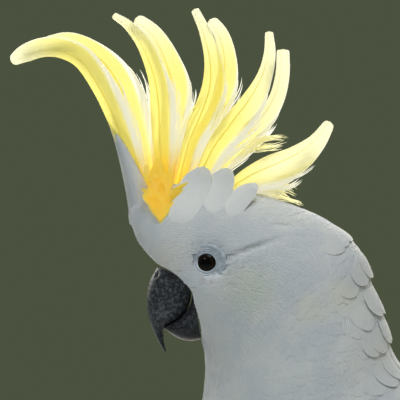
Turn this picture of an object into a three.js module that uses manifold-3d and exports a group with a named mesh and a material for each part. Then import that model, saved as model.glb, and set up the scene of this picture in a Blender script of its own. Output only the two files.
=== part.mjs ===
// A life-size sulphur-crested cockatoo standing on the ground, head drawn in and crest raised.
//
// Millimetres, +Z up. The bird faces -X and its left side is -Y. The origin is on the floor, under
// the middle of the bounding box. The tables of the head, body, wings and crest are measured from
// the centre of the eye, as a taxidermist would: x towards the tail, z upwards.

import * as THREE from "three";
import { LoftGeometry } from "three/addons/geometries/LoftGeometry.js";
import { mergeVertices } from "three/addons/utils/BufferGeometryUtils.js";
import Module from "manifold-3d";

const wasm = await Module();
wasm.setup();

// ---------------------------------------------------------------- driving dimensions

const EYE_HEIGHT = 274; // eye above the floor
const EYE_X = -136.3; // puts the middle of the bounding box at x = 0
const GAP = 0.3; // clearance between neighbouring solids
const SIDES = [
  { name: "left", sign: -1 },
  { name: "right", sign: 1 },
];

const EYEBALL_R = 6.4;
const EYEBALL_Y = 21; // centre of the ball from the middle plane
const EYE_TURN = 0.2; // radians that each eye looks forward of straight out
const LID_INNER_R = 4.9;
const LID_OUTER_R = 7.7;

const CREST_THICK = 0.9;
const CREST_PITCH = 1.3; // between the planes of neighbouring crest feathers
const QUILL_THICK = 1.2; // flight feathers

const TAIL_ROOT = { x: 205, z: -141 };
const TAIL_LENGTH = 200;
const TAIL_SLOPE = 34; // degrees below the horizontal
const TAIL_FAN = 0.9; // degrees between neighbouring feathers
const TAIL_PAIRS = 6;
const TAIL_THICK = 1;
const TAIL_TILT = 1.4; // degrees that each feather leans more than the one inside it
const TAIL_STEP = 1.15; // how far each pair lies under the pair inside it

const FOOT_X = -41.3; // under the centre of mass
const FOOT_Y = 27;
const ANKLE_Z = 37;

// ---------------------------------------------------------------- materials

const paint = (color, roughness) =>
  new THREE.MeshStandardMaterial({ color, roughness, metalness: 0 });

const WHITE_PLUMAGE = () => paint(0xf1efe9, 0.9);
const YELLOW_PLUMAGE = () => paint(0xf2dd6a, 0.85);
const BILL_HORN = () => paint(0x3a3b40, 0.5);
const FOOT_SCALE = () => paint(0x56565a, 0.7);
const CLAW_HORN = () => paint(0x2a2a2c, 0.45);
const EYE_BLACK = () => paint(0x0b0908, 0.1);
const BARE_SKIN = () => paint(0xdfe2e6, 0.6);

// ---------------------------------------------------------------- solids

// A closed three.js geometry as a manifold solid, its faces pointing out.
function solid(geometry) {
  const plain = new THREE.BufferGeometry().copy(geometry);
  plain.deleteAttribute("normal");
  plain.deleteAttribute("uv");
  const merged = mergeVertices(plain, 1e-3);
  const corners = merged.index.array;
  const kept = [];
  for (let i = 0; i < corners.length; i += 3) {
    const [a, b, c] = corners.slice(i, i + 3);
    if (a !== b && b !== c && c !== a) kept.push(a, b, c);
  }
  return new wasm.Manifold(
    new wasm.Mesh({
      numProp: 3,
      vertProperties: Float32Array.from(merged.attributes.position.array),
      triVerts: Uint32Array.from(kept),
    }),
  );
}

function geometryOf(body) {
  const { numProp, numVert, vertProperties, triVerts } = body.getMesh();
  const position = new Float32Array(numVert * 3);
  for (let i = 0; i < numVert; i++) {
    position.set(vertProperties.subarray(i * numProp, i * numProp + 3), i * 3);
  }
  return new THREE.BufferGeometry()
    .setAttribute("position", new THREE.BufferAttribute(position, 3))
    .setIndex(new THREE.BufferAttribute(Uint32Array.from(triVerts), 1));
}

const union = (bodies) => bodies.reduce((all, one) => all.add(one));

// The largest connected piece, without the slivers that a cut can leave.
const mainPiece = (body) =>
  body.decompose().sort((a, b) => b.volume() - a.volume())[0];

const bird = new THREE.Group();
bird.name = "cockatoo";

function add(name, body, material) {
  const mesh = new THREE.Mesh(geometryOf(mainPiece(body).simplify(0.05)), material);
  mesh.name = name;
  bird.add(mesh);
}

// ---------------------------------------------------------------- lofts

const radians = THREE.MathUtils.degToRad;
const lerp = THREE.MathUtils.lerp;
const inFrame = (x, y, z) => new THREE.Vector3(x + EYE_X, y, z + EYE_HEIGHT);

// A smooth curve through the rows of a table, read at any row number, whole or not.
function through(rows) {
  const curve = new THREE.CubicInterpolant(
    Float32Array.from(rows.keys()),
    Float32Array.from(rows.flat()),
    rows[0].length,
  );
  return (row) => Array.from(curve.evaluate(row));
}

// Sections of points, turned round where needed so that their faces will point outwards.
function outwards(sections) {
  const travel = new THREE.Vector3();
  const facing = new THREE.Vector3();
  const [first, second] = sections;
  first.forEach((point, i) => {
    const next = first[(i + 1) % first.length];
    travel.add(second[i]).sub(point);
    facing.add(new THREE.Vector3().crossVectors(point, next));
  });
  if (facing.dot(travel) < 0) sections.forEach((points) => points.reverse());
  return sections;
}

const skinned = (sections) =>
  solid(new LoftGeometry(outwards(sections), { capStart: true, capEnd: true }));

// One point of a body's ring, standing across the middle plane between a back and a belly point.
// The angle runs from the back, positive towards the right side; waist is where the ring is
// widest, as a share of the way from belly to back.
function bodyPoint([backX, backZ, bellyX, bellyZ, half, waist], angle, grow) {
  const depth = Math.hypot(backX - bellyX, backZ - bellyZ);
  const up = Math.cos(angle);
  const share = (up > 0 ? 1 - waist : waist) + grow / depth;
  const along = waist + up * share;
  return inFrame(
    lerp(bellyX, backX, along),
    Math.sin(angle) * (half + grow),
    lerp(bellyZ, backZ, along),
  );
}

// A body lofted through a table of rings, between two row numbers, grown outwards by `grow`.
function loft(rows, { rings, count, from = 0, to = rows.length - 1, grow = 0, y = 0 }) {
  const at = through(rows);
  const sections = [];
  for (let i = 0; i <= rings; i++) {
    const row = at(lerp(from, to, i / rings));
    const ring = [];
    for (let k = 0; k < count; k++) {
      const point = bodyPoint(row, (2 * Math.PI * k) / count, grow);
      point.y += y;
      ring.push(point);
    }
    sections.push(ring);
  }
  return skinned(sections);
}

// Four-cornered sections as a plate. Both of its faces are split along the same diagonals, which
// keeps its thickness even where it twists.
function plate(sections) {
  const rings = outwards(sections);
  const faces = [0, 2, 1, 0, 3, 2];
  for (let start = 0; start < 4 * (rings.length - 1); start += 4) {
    for (let j = 0; j < 4; j++) {
      const [a, b] = [start + j, start + ((j + 1) % 4)];
      const [d, c] = [a + 4, b + 4];
      faces.push(...(j < 2 ? [a, b, c, a, c, d] : [a, b, d, b, c, d]));
    }
  }
  const end = 4 * (rings.length - 1);
  faces.push(end, end + 1, end + 2, end, end + 2, end + 3);
  const geometry = new THREE.BufferGeometry().setFromPoints(rings.flat());
  return solid(geometry.setIndex(faces));
}

// A feather blade along its shaft. Each row is a point of the shaft (x, y, z), the half width of
// the blade there and its roll in degrees: 0 stands on edge, 90 lies flat.
function blade(rows, { thick, steps, sign = 1 }) {
  const at = through(rows);
  const last = rows.length - 1;
  const sections = [];
  for (let i = 0; i <= steps; i++) {
    const t = (last * i) / steps;
    const [x, y, z, half, roll] = at(t);
    const [x0, y0, z0] = at(Math.max(t - 0.05, 0));
    const [x1, y1, z1] = at(Math.min(t + 0.05, last));
    const shaft = new THREE.Vector3(x1 - x0, sign * (y1 - y0), z1 - z0).normalize();
    const side = new THREE.Vector3(0, sign, 0);
    side.addScaledVector(shaft, -side.dot(shaft)).normalize();
    const across = new THREE.Vector3().crossVectors(shaft, side);
    across.multiplyScalar(Math.cos(radians(roll)));
    across.addScaledVector(side, -sign * Math.sin(radians(roll)));
    const face = new THREE.Vector3().crossVectors(shaft, across);
    across.multiplyScalar(half);
    face.multiplyScalar(thick / 2);
    const middle = inFrame(x, sign * y, z);
    sections.push([
      middle.clone().add(across).add(face),
      middle.clone().add(across).sub(face),
      middle.clone().sub(across).sub(face),
      middle.clone().sub(across).add(face),
    ]);
  }
  return plate(sections);
}

// ---------------------------------------------------------------- head, neck and trunk

// back x, back z, belly x, belly z, half width, waist: from the root of the bill round the
// crown and down to the coverts over and under the tail.
const BODY = [
  [-32.7, 0.7, -23.7, -14.3, 7, 0.5], // lores, behind the root of the bill
  [-37, 10, -16, -25, 14, 0.48],
  [-39.5, 19, -9, -33.5, 19, 0.46], // forehead
  [-39, 28.5, -5.5, -38, 22, 0.44],
  [-33, 35.5, -4, -40, 24.5, 0.43], // chin
  [-19, 38.8, -3, -41, 26.8, 0.42],
  [0, 38.5, -1.9, -44, 29, 0.42], // crown
  [22, 35, -1.6, -49, 31, 0.42],
  [43, 28.3, -1.2, -54.5, 32.5, 0.44],
  [61, 20, -1.8, -60, 34, 0.46], // nape
  [76, 6, -2.5, -67, 36, 0.47],
  [82, -11, -4.5, -77, 38.5, 0.48],
  [88.5, -30, -6.5, -92, 42, 0.5], // base of the neck
  [93, -48, -7, -112, 45.5, 0.5],
  [103, -63, 0, -132, 48.5, 0.5], // shoulder
  [118, -75, 13, -150, 50.5, 0.5],
  [135, -87, 33, -166, 51, 0.49],
  [154, -100, 59, -179, 50, 0.48], // middle of the trunk
  [174, -113.5, 88, -188, 46.5, 0.47],
  [193, -126.5, 119, -190.5, 41, 0.47],
  [211, -138.5, 150, -191.5, 34, 0.48], // vent
  [228, -150, 180, -195, 27.5, 0.5],
  [245, -162, 208, -201, 22, 0.52],
  [262, -174.5, 235, -208, 17, 0.55],
  [278, -186, 260, -211.5, 11, 0.58],
  [291, -196, 284, -210, 5, 0.6], // tips of the coverts
];
const HEAD_END = 8.6;
const NECK_END = 12.8;
const CUT = 0.08; // rows between one length of the body and the next

const headForm = (grow) => loft(BODY, { rings: 13, count: 20, to: HEAD_END, grow });
const neck = loft(BODY, { rings: 7, count: 20, from: HEAD_END + CUT, to: NECK_END });
const trunkForm = (grow) => loft(BODY, { rings: 16, count: 20, from: NECK_END + CUT, grow });

// ---------------------------------------------------------------- bill

// culmen x, culmen z, cutting edge x, cutting edge z, half width, waist
const UPPER_BILL = [
  [-25.5, -2.6, -8.4, -14.6, 10, 0.5],
  [-28.7, -9, -8.8, -19, 10.2, 0.48],
  [-30.2, -16, -10.8, -23.6, 9.8, 0.46],
  [-30.2, -23, -14.4, -27.6, 8.6, 0.44],
  [-29.2, -29, -18.4, -30.4, 6.6, 0.44],
  [-27.3, -34.2, -21.8, -33, 4.4, 0.46],
  [-24.8, -39.6, -22.3, -38.4, 2.4, 0.5],
  [-21.4, -45.2, -20.9, -44.6, 0.7, 0.5], // tip of the hook
];

// gape edge x, gape edge z, keel x, keel z, half width, waist
const LOWER_BILL = [
  [-5.5, -20, -3.6, -38.6, 9.4, 0.5],
  [-9.4, -23.6, -9, -39.4, 9.2, 0.5],
  [-14, -27.6, -14.4, -38.2, 8.4, 0.5],
  [-18, -30.2, -18.8, -35.6, 6.8, 0.52],
  [-20.8, -31.6, -21.8, -33, 4.6, 0.55],
];
const BILL_SEAT = 0.08; // rows of clearance behind the root of each half of the bill

const upperBill = loft(UPPER_BILL, { rings: 10, count: 12, from: BILL_SEAT });
const upperBillClear = loft(UPPER_BILL, { rings: 10, count: 12, grow: GAP });
const lowerBill = loft(LOWER_BILL, { rings: 5, count: 10, from: BILL_SEAT });
const lowerBillClear = loft(LOWER_BILL, { rings: 5, count: 10, grow: GAP });

add("upper_bill", upperBill, BILL_HORN());
add("lower_bill", lowerBill.subtract(upperBillClear), BILL_HORN());

// ---------------------------------------------------------------- eyes

// Turns a form built round +Y onto one eye, looking out and a little forward.
const onEye = (geometry, side) =>
  solid(
    geometry
      .rotateZ(side.sign > 0 ? EYE_TURN : Math.PI - EYE_TURN)
      .translate(EYE_X, side.sign * EYEBALL_Y, EYE_HEIGHT),
  );

// The bare ring of lid skin, lathed round the eye's axis and clear of the ball.
const LID_FACE = Math.sqrt(EYEBALL_R ** 2 - LID_INNER_R ** 2);
const besideBall = (out) => Math.sqrt((EYEBALL_R + GAP) ** 2 - out ** 2);
const LID_PROFILE = [
  [besideBall(LID_FACE - 1), LID_FACE - 1],
  [LID_OUTER_R, LID_FACE - 1],
  [LID_OUTER_R, LID_FACE + 1.2],
  [LID_INNER_R + 1.4, LID_FACE + 1.6],
  [besideBall(LID_FACE + 0.4), LID_FACE + 0.4],
  [besideBall(LID_FACE - 1), LID_FACE - 1],
].map(([radius, out]) => new THREE.Vector2(radius, out));
const SOCKET_DEPTH = EYEBALL_R + GAP; // behind the centre of the ball

// Where the face feathers end against the bill, from the forehead to the chin; all in front of
// this line is cut away.
const FACE_EDGE = [
  [-60, 30],
  [-38.5, 18],
  [-35.5, 10],
  [-31, 4.5],
  [-26, -0.6],
  [-18, -4.6],
  [-12.5, -9.5],
  [-8.6, -14],
  [-7.6, -20],
  [-5.6, -26],
  [-4, -33],
  [-3.6, -60],
  [-60, -60],
].map(([x, z]) => new THREE.Vector2(x, z));
const inFrontOfFace = solid(
  new THREE.ExtrudeGeometry(new THREE.Shape(FACE_EDGE), { depth: 80, bevelEnabled: false })
    .rotateX(Math.PI / 2)
    .translate(EYE_X, 40, EYE_HEIGHT),
);

let head = headForm(0).subtract(inFrontOfFace);
head = head.subtract(upperBillClear).subtract(lowerBillClear);
for (const side of SIDES) {
  const wide = LID_OUTER_R + GAP;
  const well = new THREE.CylinderGeometry(wide, wide, 24, 16).translate(0, 12 - SOCKET_DEPTH, 0);
  const ball = new THREE.SphereGeometry(EYEBALL_R, 16, 8);
  head = head.subtract(onEye(well, side));
  add(`eye_${side.name}`, onEye(ball, side), EYE_BLACK());
  add(`eye_ring_${side.name}`, onEye(new THREE.LatheGeometry(LID_PROFILE, 16), side), BARE_SKIN());
}
add("head", head, WHITE_PLUMAGE());
add("neck", neck, WHITE_PLUMAGE());

// ---------------------------------------------------------------- crest

// Long curled feathers in pairs, front to back, each standing in its own upright plane. A row is
// x, z and the half width, from the tip down to the root; plane counts pitches left (-) or right.
const CREST = [
  {
    name: "crest_1a",
    plane: -2.5,
    rows: [
      [-98, 98.5, 1.2],
      [-86.5, 104.5, 3.4],
      [-73, 107, 4.6],
      [-61.5, 101, 5.4],
      [-51.8, 87, 5.8],
      [-44, 70, 5.6],
      [-36.5, 48.5, 4.8],
      [-28, 27, 3],
    ],
  },
  {
    name: "crest_1b",
    plane: 2.5,
    rows: [
      [-91.5, 109, 0.8],
      [-81, 111.2, 2],
      [-70, 112.2, 3],
      [-59, 107.5, 4.2],
      [-48, 98, 6],
      [-40, 85, 7.5],
      [-35, 68.5, 8],
      [-31, 51, 6.5],
      [-25, 29, 3.5],
    ],
  },
  {
    name: "crest_2a",
    plane: -1.5,
    rows: [
      [-47, 123.5, 0.8],
      [-39, 117.5, 2.6],
      [-31, 107, 3.8],
      [-25, 92, 5],
      [-22.5, 78.5, 6.4],
      [-22, 61, 5.8],
      [-21.5, 32, 3],
    ],
  },
  {
    name: "crest_2b",
    plane: 1.5,
    rows: [
      [-36, 123.5, 0.8],
      [-26.5, 114, 3.6],
      [-19, 100, 5.6],
      [-15, 86, 6.8],
      [-16, 71, 6.5],
      [-19, 53.5, 4.8],
      [-20.5, 32, 2.8],
    ],
  },
  {
    name: "crest_3a",
    plane: -0.5,
    rows: [
      [-7, 126, 0.8],
      [-1.5, 115, 2.8],
      [2.5, 101, 4.4],
      [3, 87, 6.2],
      [-1, 73.5, 6.8],
      [-8, 58.5, 5],
      [-15, 32, 2.8],
    ],
  },
  {
    name: "crest_3b",
    plane: 0.5,
    rows: [
      [0.5, 121.5, 0.8],
      [7, 113, 3.4],
      [10, 100, 4.6],
      [9, 87, 5.4],
      [4, 73.5, 5],
      [-4, 61, 4],
      [-12, 32, 2.8],
    ],
  },
  {
    name: "crest_4a",
    plane: -3.5,
    rows: [
      [30, 113.5, 1],
      [30.7, 103.5, 2.8],
      [28, 92, 4],
      [22, 79.5, 6],
      [13, 67, 7],
      [3, 53.5, 5.6],
      [-7, 32, 3],
    ],
  },
  {
    name: "crest_4b",
    plane: 3.5,
    rows: [
      [38.5, 106, 1],
      [37.7, 94, 3],
      [34.5, 82, 3.8],
      [28, 71, 4.8],
      [18.5, 60, 4.8],
      [7, 47, 3.8],
      [-4, 30, 2.4],
    ],
  },
  {
    name: "crest_5a",
    plane: -4.5,
    rows: [
      [61, 69.5, 1],
      [54, 59.5, 4.2],
      [44, 51, 7],
      [32, 45, 8.4],
      [20, 40, 6.6],
      [8, 33, 3.4],
    ],
  },
  {
    name: "crest_5b",
    plane: 4.5,
    rows: [
      [58, 63.5, 1],
      [48.5, 52.5, 3.6],
      [38.5, 45, 5.6],
      [27, 39.5, 6.4],
      [16, 36, 5],
      [6, 30, 2.8],
    ],
  },
];
const CREST_FOOT_Z = 30; // planes splay from this height
const CREST_SPLAY = 0.008; // share per millimetre above it

const splayed = (plane, z) =>
  plane * CREST_PITCH * (1 + CREST_SPLAY * Math.max(z - CREST_FOOT_Z, 0));

for (const feather of CREST) {
  const rows = feather.rows.map(([x, z, half]) => [x, splayed(feather.plane, z), z, half, 0]);
  const form = blade(rows, { thick: CREST_THICK, steps: 8 });
  add(feather.name, form.subtract(headForm(GAP)), YELLOW_PLUMAGE());
}

// White coverts standing over the roots of the crest: one tall lobe climbing the forehead and
// three lower ones along each side of the crown.
const CROWN_COVERTS = [
  {
    name: "forehead_covert",
    plane: 4.9,
    rows: [
      [-49.5, 71, 0.8],
      [-44, 60, 2.6],
      [-39, 47, 4.4],
      [-35, 35, 6],
      [-32, 24, 7],
    ],
  },
  {
    name: "crown_covert_1",
    plane: 6,
    rows: [
      [-16, 48, 1],
      [-14, 42, 3.6],
      [-11, 35, 5.5],
      [-9, 27, 5.5],
    ],
  },
  {
    name: "crown_covert_2",
    plane: 6,
    rows: [
      [9, 48, 1],
      [7, 42, 3.6],
      [5, 35.5, 5.5],
      [2, 27, 5.5],
    ],
  },
  {
    name: "crown_covert_3",
    plane: 6,
    rows: [
      [21, 39, 1],
      [18, 36, 3.2],
      [14, 31.5, 4.4],
      [10, 25, 4.4],
    ],
  },
];
for (const side of SIDES) {
  for (const covert of CROWN_COVERTS) {
    const y = covert.plane * CREST_PITCH;
    const rows = covert.rows.map(([x, z, half]) => [x, y, z, half, 0]);
    const form = blade(rows, { thick: CREST_THICK, steps: 4, sign: side.sign });
    add(`${covert.name}_${side.name}`, form.subtract(headForm(GAP)), WHITE_PLUMAGE());
  }
}

// ---------------------------------------------------------------- shanks

// front x, front z, back x, back z, half width, waist: the feathered shank down to the ankle
const SHANK = [
  [60, -166, 116, -156, 20, 0.5],
  [68, -190, 121, -184, 18, 0.5],
  [83, -210, 122, -206, 13.5, 0.5],
  [95.5, -226, 119, -224, 9, 0.5],
  [102, ANKLE_Z - EYE_HEIGHT, 115, ANKLE_Z - EYE_HEIGHT, 5.8, 0.5],
];
// The shank stands out from the flank; its clearance also reaches below the ankle.
const shank = (side) => loft(SHANK, { rings: 6, count: 12, y: side.sign * FOOT_Y });
function shankClear(side) {
  const grown = loft(SHANK, { rings: 6, count: 12, y: side.sign * FOOT_Y, grow: GAP });
  return grown.add(grown.translate([0, 0, -GAP]));
}

// ---------------------------------------------------------------- wings

// body row, angle of the upper edge, angle of the lower edge, thickness of the folded coverts
const WING_SHELL = [
  [13.35, 80, 96, 1.2],
  [13.8, 60, 110, 5.5],
  [14.6, 44, 119, 8],
  [16, 30, 122, 8.5],
  [17.4, 22, 119, 8],
  [18.6, 19, 111, 6.5],
  [19.6, 22, 100, 4.5],
  [20.3, 34, 84, 2],
];
const WING_SINK = 2; // how deep the shell's inner face starts inside the trunk
const WING_ARC = 6; // faces across the shell
const WING_STEPS = 9; // rings along it

function wingShell(side) {
  const atWing = through(WING_SHELL);
  const atBody = through(BODY);
  const sections = [];
  for (let i = 0; i <= WING_STEPS; i++) {
    const [row, upper, lower, thick] = atWing(((WING_SHELL.length - 1) * i) / WING_STEPS);
    const outer = [];
    const inner = [];
    for (let j = 0; j <= WING_ARC; j++) {
      const share = j / WING_ARC;
      const angle = side.sign * radians(lerp(upper, lower, share));
      const rise = thick * Math.sin(Math.PI * share) ** 0.6;
      outer.push(bodyPoint(atBody(row), angle, rise));
      inner.unshift(bodyPoint(atBody(row), angle, -WING_SINK));
    }
    sections.push([...outer, ...inner]);
  }
  return skinned(sections);
}

// Flight feathers from the longest primary, lowest on the flank, up to the tertials on the back.
// Each leaves the coverts round the body at two angles, then runs free to its tip (x, y, z).
const QUILLS = [
  { angles: [112, 92], tip: [322, 14, -206], half: 10 },
  { angles: [105, 85], tip: [310, 15.5, -198.5], half: 10 },
  { angles: [98, 78], tip: [297, 17, -190.5], half: 10 },
  { angles: [90, 70], tip: [282, 18.5, -182], half: 10.5 },
  { angles: [81, 62], tip: [266, 20, -173], half: 11 },
  { angles: [71, 53], tip: [253, 19, -165], half: 11.5 },
  { angles: [60, 43], tip: [242, 16.5, -157], half: 12 },
  { angles: [48, 33], tip: [232, 12.5, -149.5], half: 12 },
];
const QUILL_STATIONS = [
  { row: 17.4, lift: 2 },
  { row: 20.4, lift: 4.5 },
];

function quill({ angles, tip, half }, layer, side) {
  const atBody = through(BODY);
  const rows = QUILL_STATIONS.map(({ row, lift }, i) => {
    const point = bodyPoint(atBody(row), radians(angles[i]), lift + 0.35 * layer);
    return [point.x - EYE_X, point.y, point.z - EYE_HEIGHT, 90 - angles[i]];
  });
  rows.push([...tip, 52]);
  const shaft = [0, 0.6, 1.1, 1.5, 1.85, 2].map((t, i) => {
    const [x, y, z, roll] = through(rows)(t);
    return [x, y, z, half * [0.7, 0.9, 1, 0.95, 0.6, 0.15][i], roll];
  });
  return blade(shaft, { thick: QUILL_THICK, steps: 3, sign: side.sign });
}

const trunkClear = trunkForm(GAP);
for (const side of SIDES) {
  const quills = QUILLS.map((feather, layer) => quill(feather, layer, side));
  const wing = union([wingShell(side), ...quills]).subtract(trunkClear);
  add(`wing_${side.name}`, wing.subtract(shankClear(side)), WHITE_PLUMAGE());
}

// ---------------------------------------------------------------- tail

// share of the length, half width
const TAIL_BLADE = [
  [0.12, 9],
  [0.6, 14.5],
  [0.93, 15.5],
  [1, 7],
];

function tailFeather(pair, side) {
  const turn = radians(TAIL_FAN * (pair + 0.5));
  const drop = TAIL_STEP * (pair + (side.sign > 0 ? 0.5 : 0));
  const slope = radians(TAIL_SLOPE);
  const length = TAIL_LENGTH - 1.6 * pair;
  const rows = TAIL_BLADE.map(([share, half]) => {
    const out = share * length * Math.cos(turn);
    const sag = drop + 5 * share ** 2;
    return [
      TAIL_ROOT.x + out * Math.cos(slope) - drop * Math.sin(slope),
      2 + share * length * Math.sin(turn),
      TAIL_ROOT.z - out * Math.sin(slope) - sag * Math.cos(slope),
      half,
      90 - TAIL_TILT * (pair + 0.5),
    ];
  });
  return blade(rows, { thick: TAIL_THICK, steps: 3, sign: side.sign });
}

const rectrices = [];
for (let pair = 0; pair < TAIL_PAIRS; pair++) {
  for (const side of SIDES) rectrices.push(tailFeather(pair, side));
}
const tail = union(rectrices);
add("trunk", trunkForm(0), WHITE_PLUMAGE());
add("tail", tail.subtract(trunkClear), WHITE_PLUMAGE());

// ---------------------------------------------------------------- legs and feet

// A round limb lofted along its middle line. Each row is x, y, z and the radius.
function limb(rows, { rings, count }) {
  const at = through(rows);
  const last = rows.length - 1;
  const sections = [];
  for (let i = 0; i <= rings; i++) {
    const t = (last * i) / rings;
    const [x, y, z, radius] = at(t);
    const before = new THREE.Vector3(...at(Math.max(t - 0.05, 0)));
    const after = new THREE.Vector3(...at(Math.min(t + 0.05, last)));
    const way = after.sub(before).normalize();
    const side = new THREE.Vector3().crossVectors(way, new THREE.Vector3(0, 0, 1)).normalize();
    const top = new THREE.Vector3().crossVectors(side, way);
    const ring = [];
    for (let k = 0; k < count; k++) {
      const angle = (2 * Math.PI * k) / count;
      const point = new THREE.Vector3(x, y, z);
      point.addScaledVector(side, radius * Math.cos(angle));
      ring.push(point.addScaledVector(top, radius * Math.sin(angle)));
    }
    sections.push(ring);
  }
  return skinned(sections);
}

// Two toes forward and two back: degrees outwards from straight ahead, and length.
const TOES = [
  { name: "inner_front", turn: -28, length: 27 },
  { name: "outer_front", turn: 14, length: 38 },
  { name: "outer_back", turn: 142, length: 34 },
  { name: "inner_back", turn: -148, length: 19 },
];
const SOLE_R = 8.2;

// Share of the toe's length, height of its middle and radius, swelling over each pad; the lowest
// points run just under the floor and are trimmed flat.
const TOE_FORM = [
  [0.05, 5.4, 5.4],
  [0.24, 4.5, 4.5],
  [0.42, 3.8, 4.6],
  [0.6, 4, 3.8],
  [0.78, 3.5, 4.3],
  [0.92, 3.9, 3.6],
  [1, 4.2, 2.7],
];
// Distance beyond the toe, height and radius.
const CLAW_FORM = [
  [0.8, 4.3, 2.5],
  [5, 5.4, 2.1],
  [9.5, 4.3, 1.4],
  [12.5, 1.6, 0.5],
];

for (const side of SIDES) {
  const footY = side.sign * FOOT_Y;
  const onToe = (toe, distance) => [
    FOOT_X - distance * Math.cos(radians(toe.turn)),
    footY + side.sign * distance * Math.sin(radians(toe.turn)),
  ];
  const tarsus = limb(
    [
      [FOOT_X + 14, footY, ANKLE_Z + 3, 4.6],
      [FOOT_X + 8.5, footY, 24, 4.1],
      [FOOT_X + 2, footY, 8, 5],
    ],
    { rings: 2, count: 7 },
  );
  const sole = solid(
    new THREE.SphereGeometry(SOLE_R, 12, 6).scale(1, 1, 0.8).translate(FOOT_X, footY, 6.3),
  );
  const toes = TOES.map((toe) =>
    limb(
      TOE_FORM.map(([share, z, radius]) => [...onToe(toe, share * toe.length), z, radius]),
      { rings: 5, count: 6 },
    ),
  );
  const foot = union([sole, tarsus, ...toes]).subtract(shankClear(side));
  add(`shank_${side.name}`, shank(side).subtract(trunkClear), WHITE_PLUMAGE());
  add(`foot_${side.name}`, foot.trimByPlane([0, 0, 1], 0), FOOT_SCALE());
  for (const toe of TOES) {
    const rows = CLAW_FORM.map(([beyond, z, radius]) => [
      ...onToe(toe, toe.length + beyond),
      z,
      radius,
    ]);
    add(`claw_${toe.name}_${side.name}`, limb(rows, { rings: 3, count: 5 }), CLAW_HORN());
  }
}

export default bird;
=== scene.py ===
import math

import bpy
import numpy as np
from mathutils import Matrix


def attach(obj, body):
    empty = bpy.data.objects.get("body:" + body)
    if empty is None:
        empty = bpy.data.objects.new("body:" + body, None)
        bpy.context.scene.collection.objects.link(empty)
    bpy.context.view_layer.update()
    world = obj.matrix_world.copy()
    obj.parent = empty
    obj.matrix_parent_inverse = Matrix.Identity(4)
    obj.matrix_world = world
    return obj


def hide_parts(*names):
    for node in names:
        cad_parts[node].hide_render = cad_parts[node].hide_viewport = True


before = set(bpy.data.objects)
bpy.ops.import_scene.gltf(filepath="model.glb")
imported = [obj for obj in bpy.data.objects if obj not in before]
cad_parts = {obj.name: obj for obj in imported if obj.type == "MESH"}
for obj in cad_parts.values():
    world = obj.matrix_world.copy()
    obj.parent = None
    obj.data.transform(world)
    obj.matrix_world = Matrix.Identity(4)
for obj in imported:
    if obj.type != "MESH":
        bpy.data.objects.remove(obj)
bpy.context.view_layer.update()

# ---- skin
# The hide of the bird, from the edge of its bill to the root of its tail, with the thighs and
# the flesh of the folded wings. It is thin, pale and bare, creased behind the eye, and every
# feather roots in it.

EYE_X, EYE_HEIGHT = -136.3, 274.0  # mm, where the eye stands in the part
LEFT, RIGHT = -1, 1
SIDES = ((LEFT, "left"), (RIGHT, "right"))
FOOT_Y = 27.0

# back x, back z, belly x, belly z, half width, waist: rings from the forehead to the tail, in mm
# from the eye
BODY = [
    [-32.7, 0.7, -23.7, -14.3, 7, 0.5],
    [-37, 10, -16, -25, 14, 0.48],
    [-39.5, 19, -9, -33.5, 19, 0.46],
    [-39, 28.5, -5.5, -38, 22, 0.44],
    [-33, 35.5, -4, -40, 24.5, 0.43],
    [-19, 38.8, -3, -41, 26.8, 0.42],
    [0, 38.5, -1.9, -44, 29, 0.42],
    [22, 35, -1.6, -49, 31, 0.42],
    [43, 28.3, -1.2, -54.5, 32.5, 0.44],
    [61, 20, -1.8, -60, 34, 0.46],
    [76, 6, -2.5, -67, 36, 0.47],
    [82, -11, -4.5, -77, 38.5, 0.48],
    [88.5, -30, -6.5, -92, 42, 0.5],
    [93, -48, -7, -112, 45.5, 0.5],
    [103, -63, 0, -132, 48.5, 0.5],
    [118, -75, 13, -150, 50.5, 0.5],
    [135, -87, 33, -166, 51, 0.49],
    [154, -100, 59, -179, 50, 0.48],
    [174, -113.5, 88, -188, 46.5, 0.47],
    [193, -126.5, 119, -190.5, 41, 0.47],
    [211, -138.5, 150, -191.5, 34, 0.48],
    [228, -150, 180, -195, 27.5, 0.5],
    [245, -162, 208, -201, 22, 0.52],
    [262, -174.5, 235, -208, 17, 0.55],
    [278, -186, 260, -211.5, 11, 0.58],
    [291, -196, 284, -210, 5, 0.6],
]
SHANK = [
    [60, -166, 116, -156, 20, 0.5],
    [68, -190, 121, -184, 18, 0.5],
    [83, -210, 122, -206, 13.5, 0.5],
    [95.5, -226, 119, -224, 9, 0.5],
    [102, -237, 115, -237, 5.8, 0.5],
]
# body row, upper and lower edge in degrees round the body, thickness: the folded wing
WING = [
    [13.35, 80, 96, 1.2],
    [13.8, 60, 110, 5.5],
    [14.6, 44, 119, 8],
    [16, 30, 122, 8.5],
    [17.4, 22, 119, 8],
    [18.6, 19, 111, 6.5],
    [19.6, 22, 100, 4.5],
    [20.3, 34, 84, 2],
]
# z, x of the line where the face feathers end against the bill, from the chin up
FACE_EDGE = [
    [-60, -3.6], [-33, -4], [-26, -5.6], [-20, -7.6], [-14, -8.6], [-9.5, -12.5],
    [-4.6, -18], [-0.6, -26], [4.5, -31], [10, -35.5], [18, -38.5], [30, -60],
]
# start, end, depth, width of the creases on the side of the head
CREASES = [((9, 2.5), (34, 11.5), 1.5, 1.5), ((31, 18.6), (43.5, 18), 0.8, 1.1)]
LIP_SHARE, LIP_OFF, LIP_WIDTH = 0.15, 3.5, 2.6  # the soft fold that stands above each crease
DISH_DEPTH, DISH_RADIUS = 2.0, 9.8  # the hollow that the eye sits in
COAT_HEAD, COAT_BODY = 0.9, 2.4  # depth of the coat
SKIN_VOXEL = 0.0013


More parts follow.
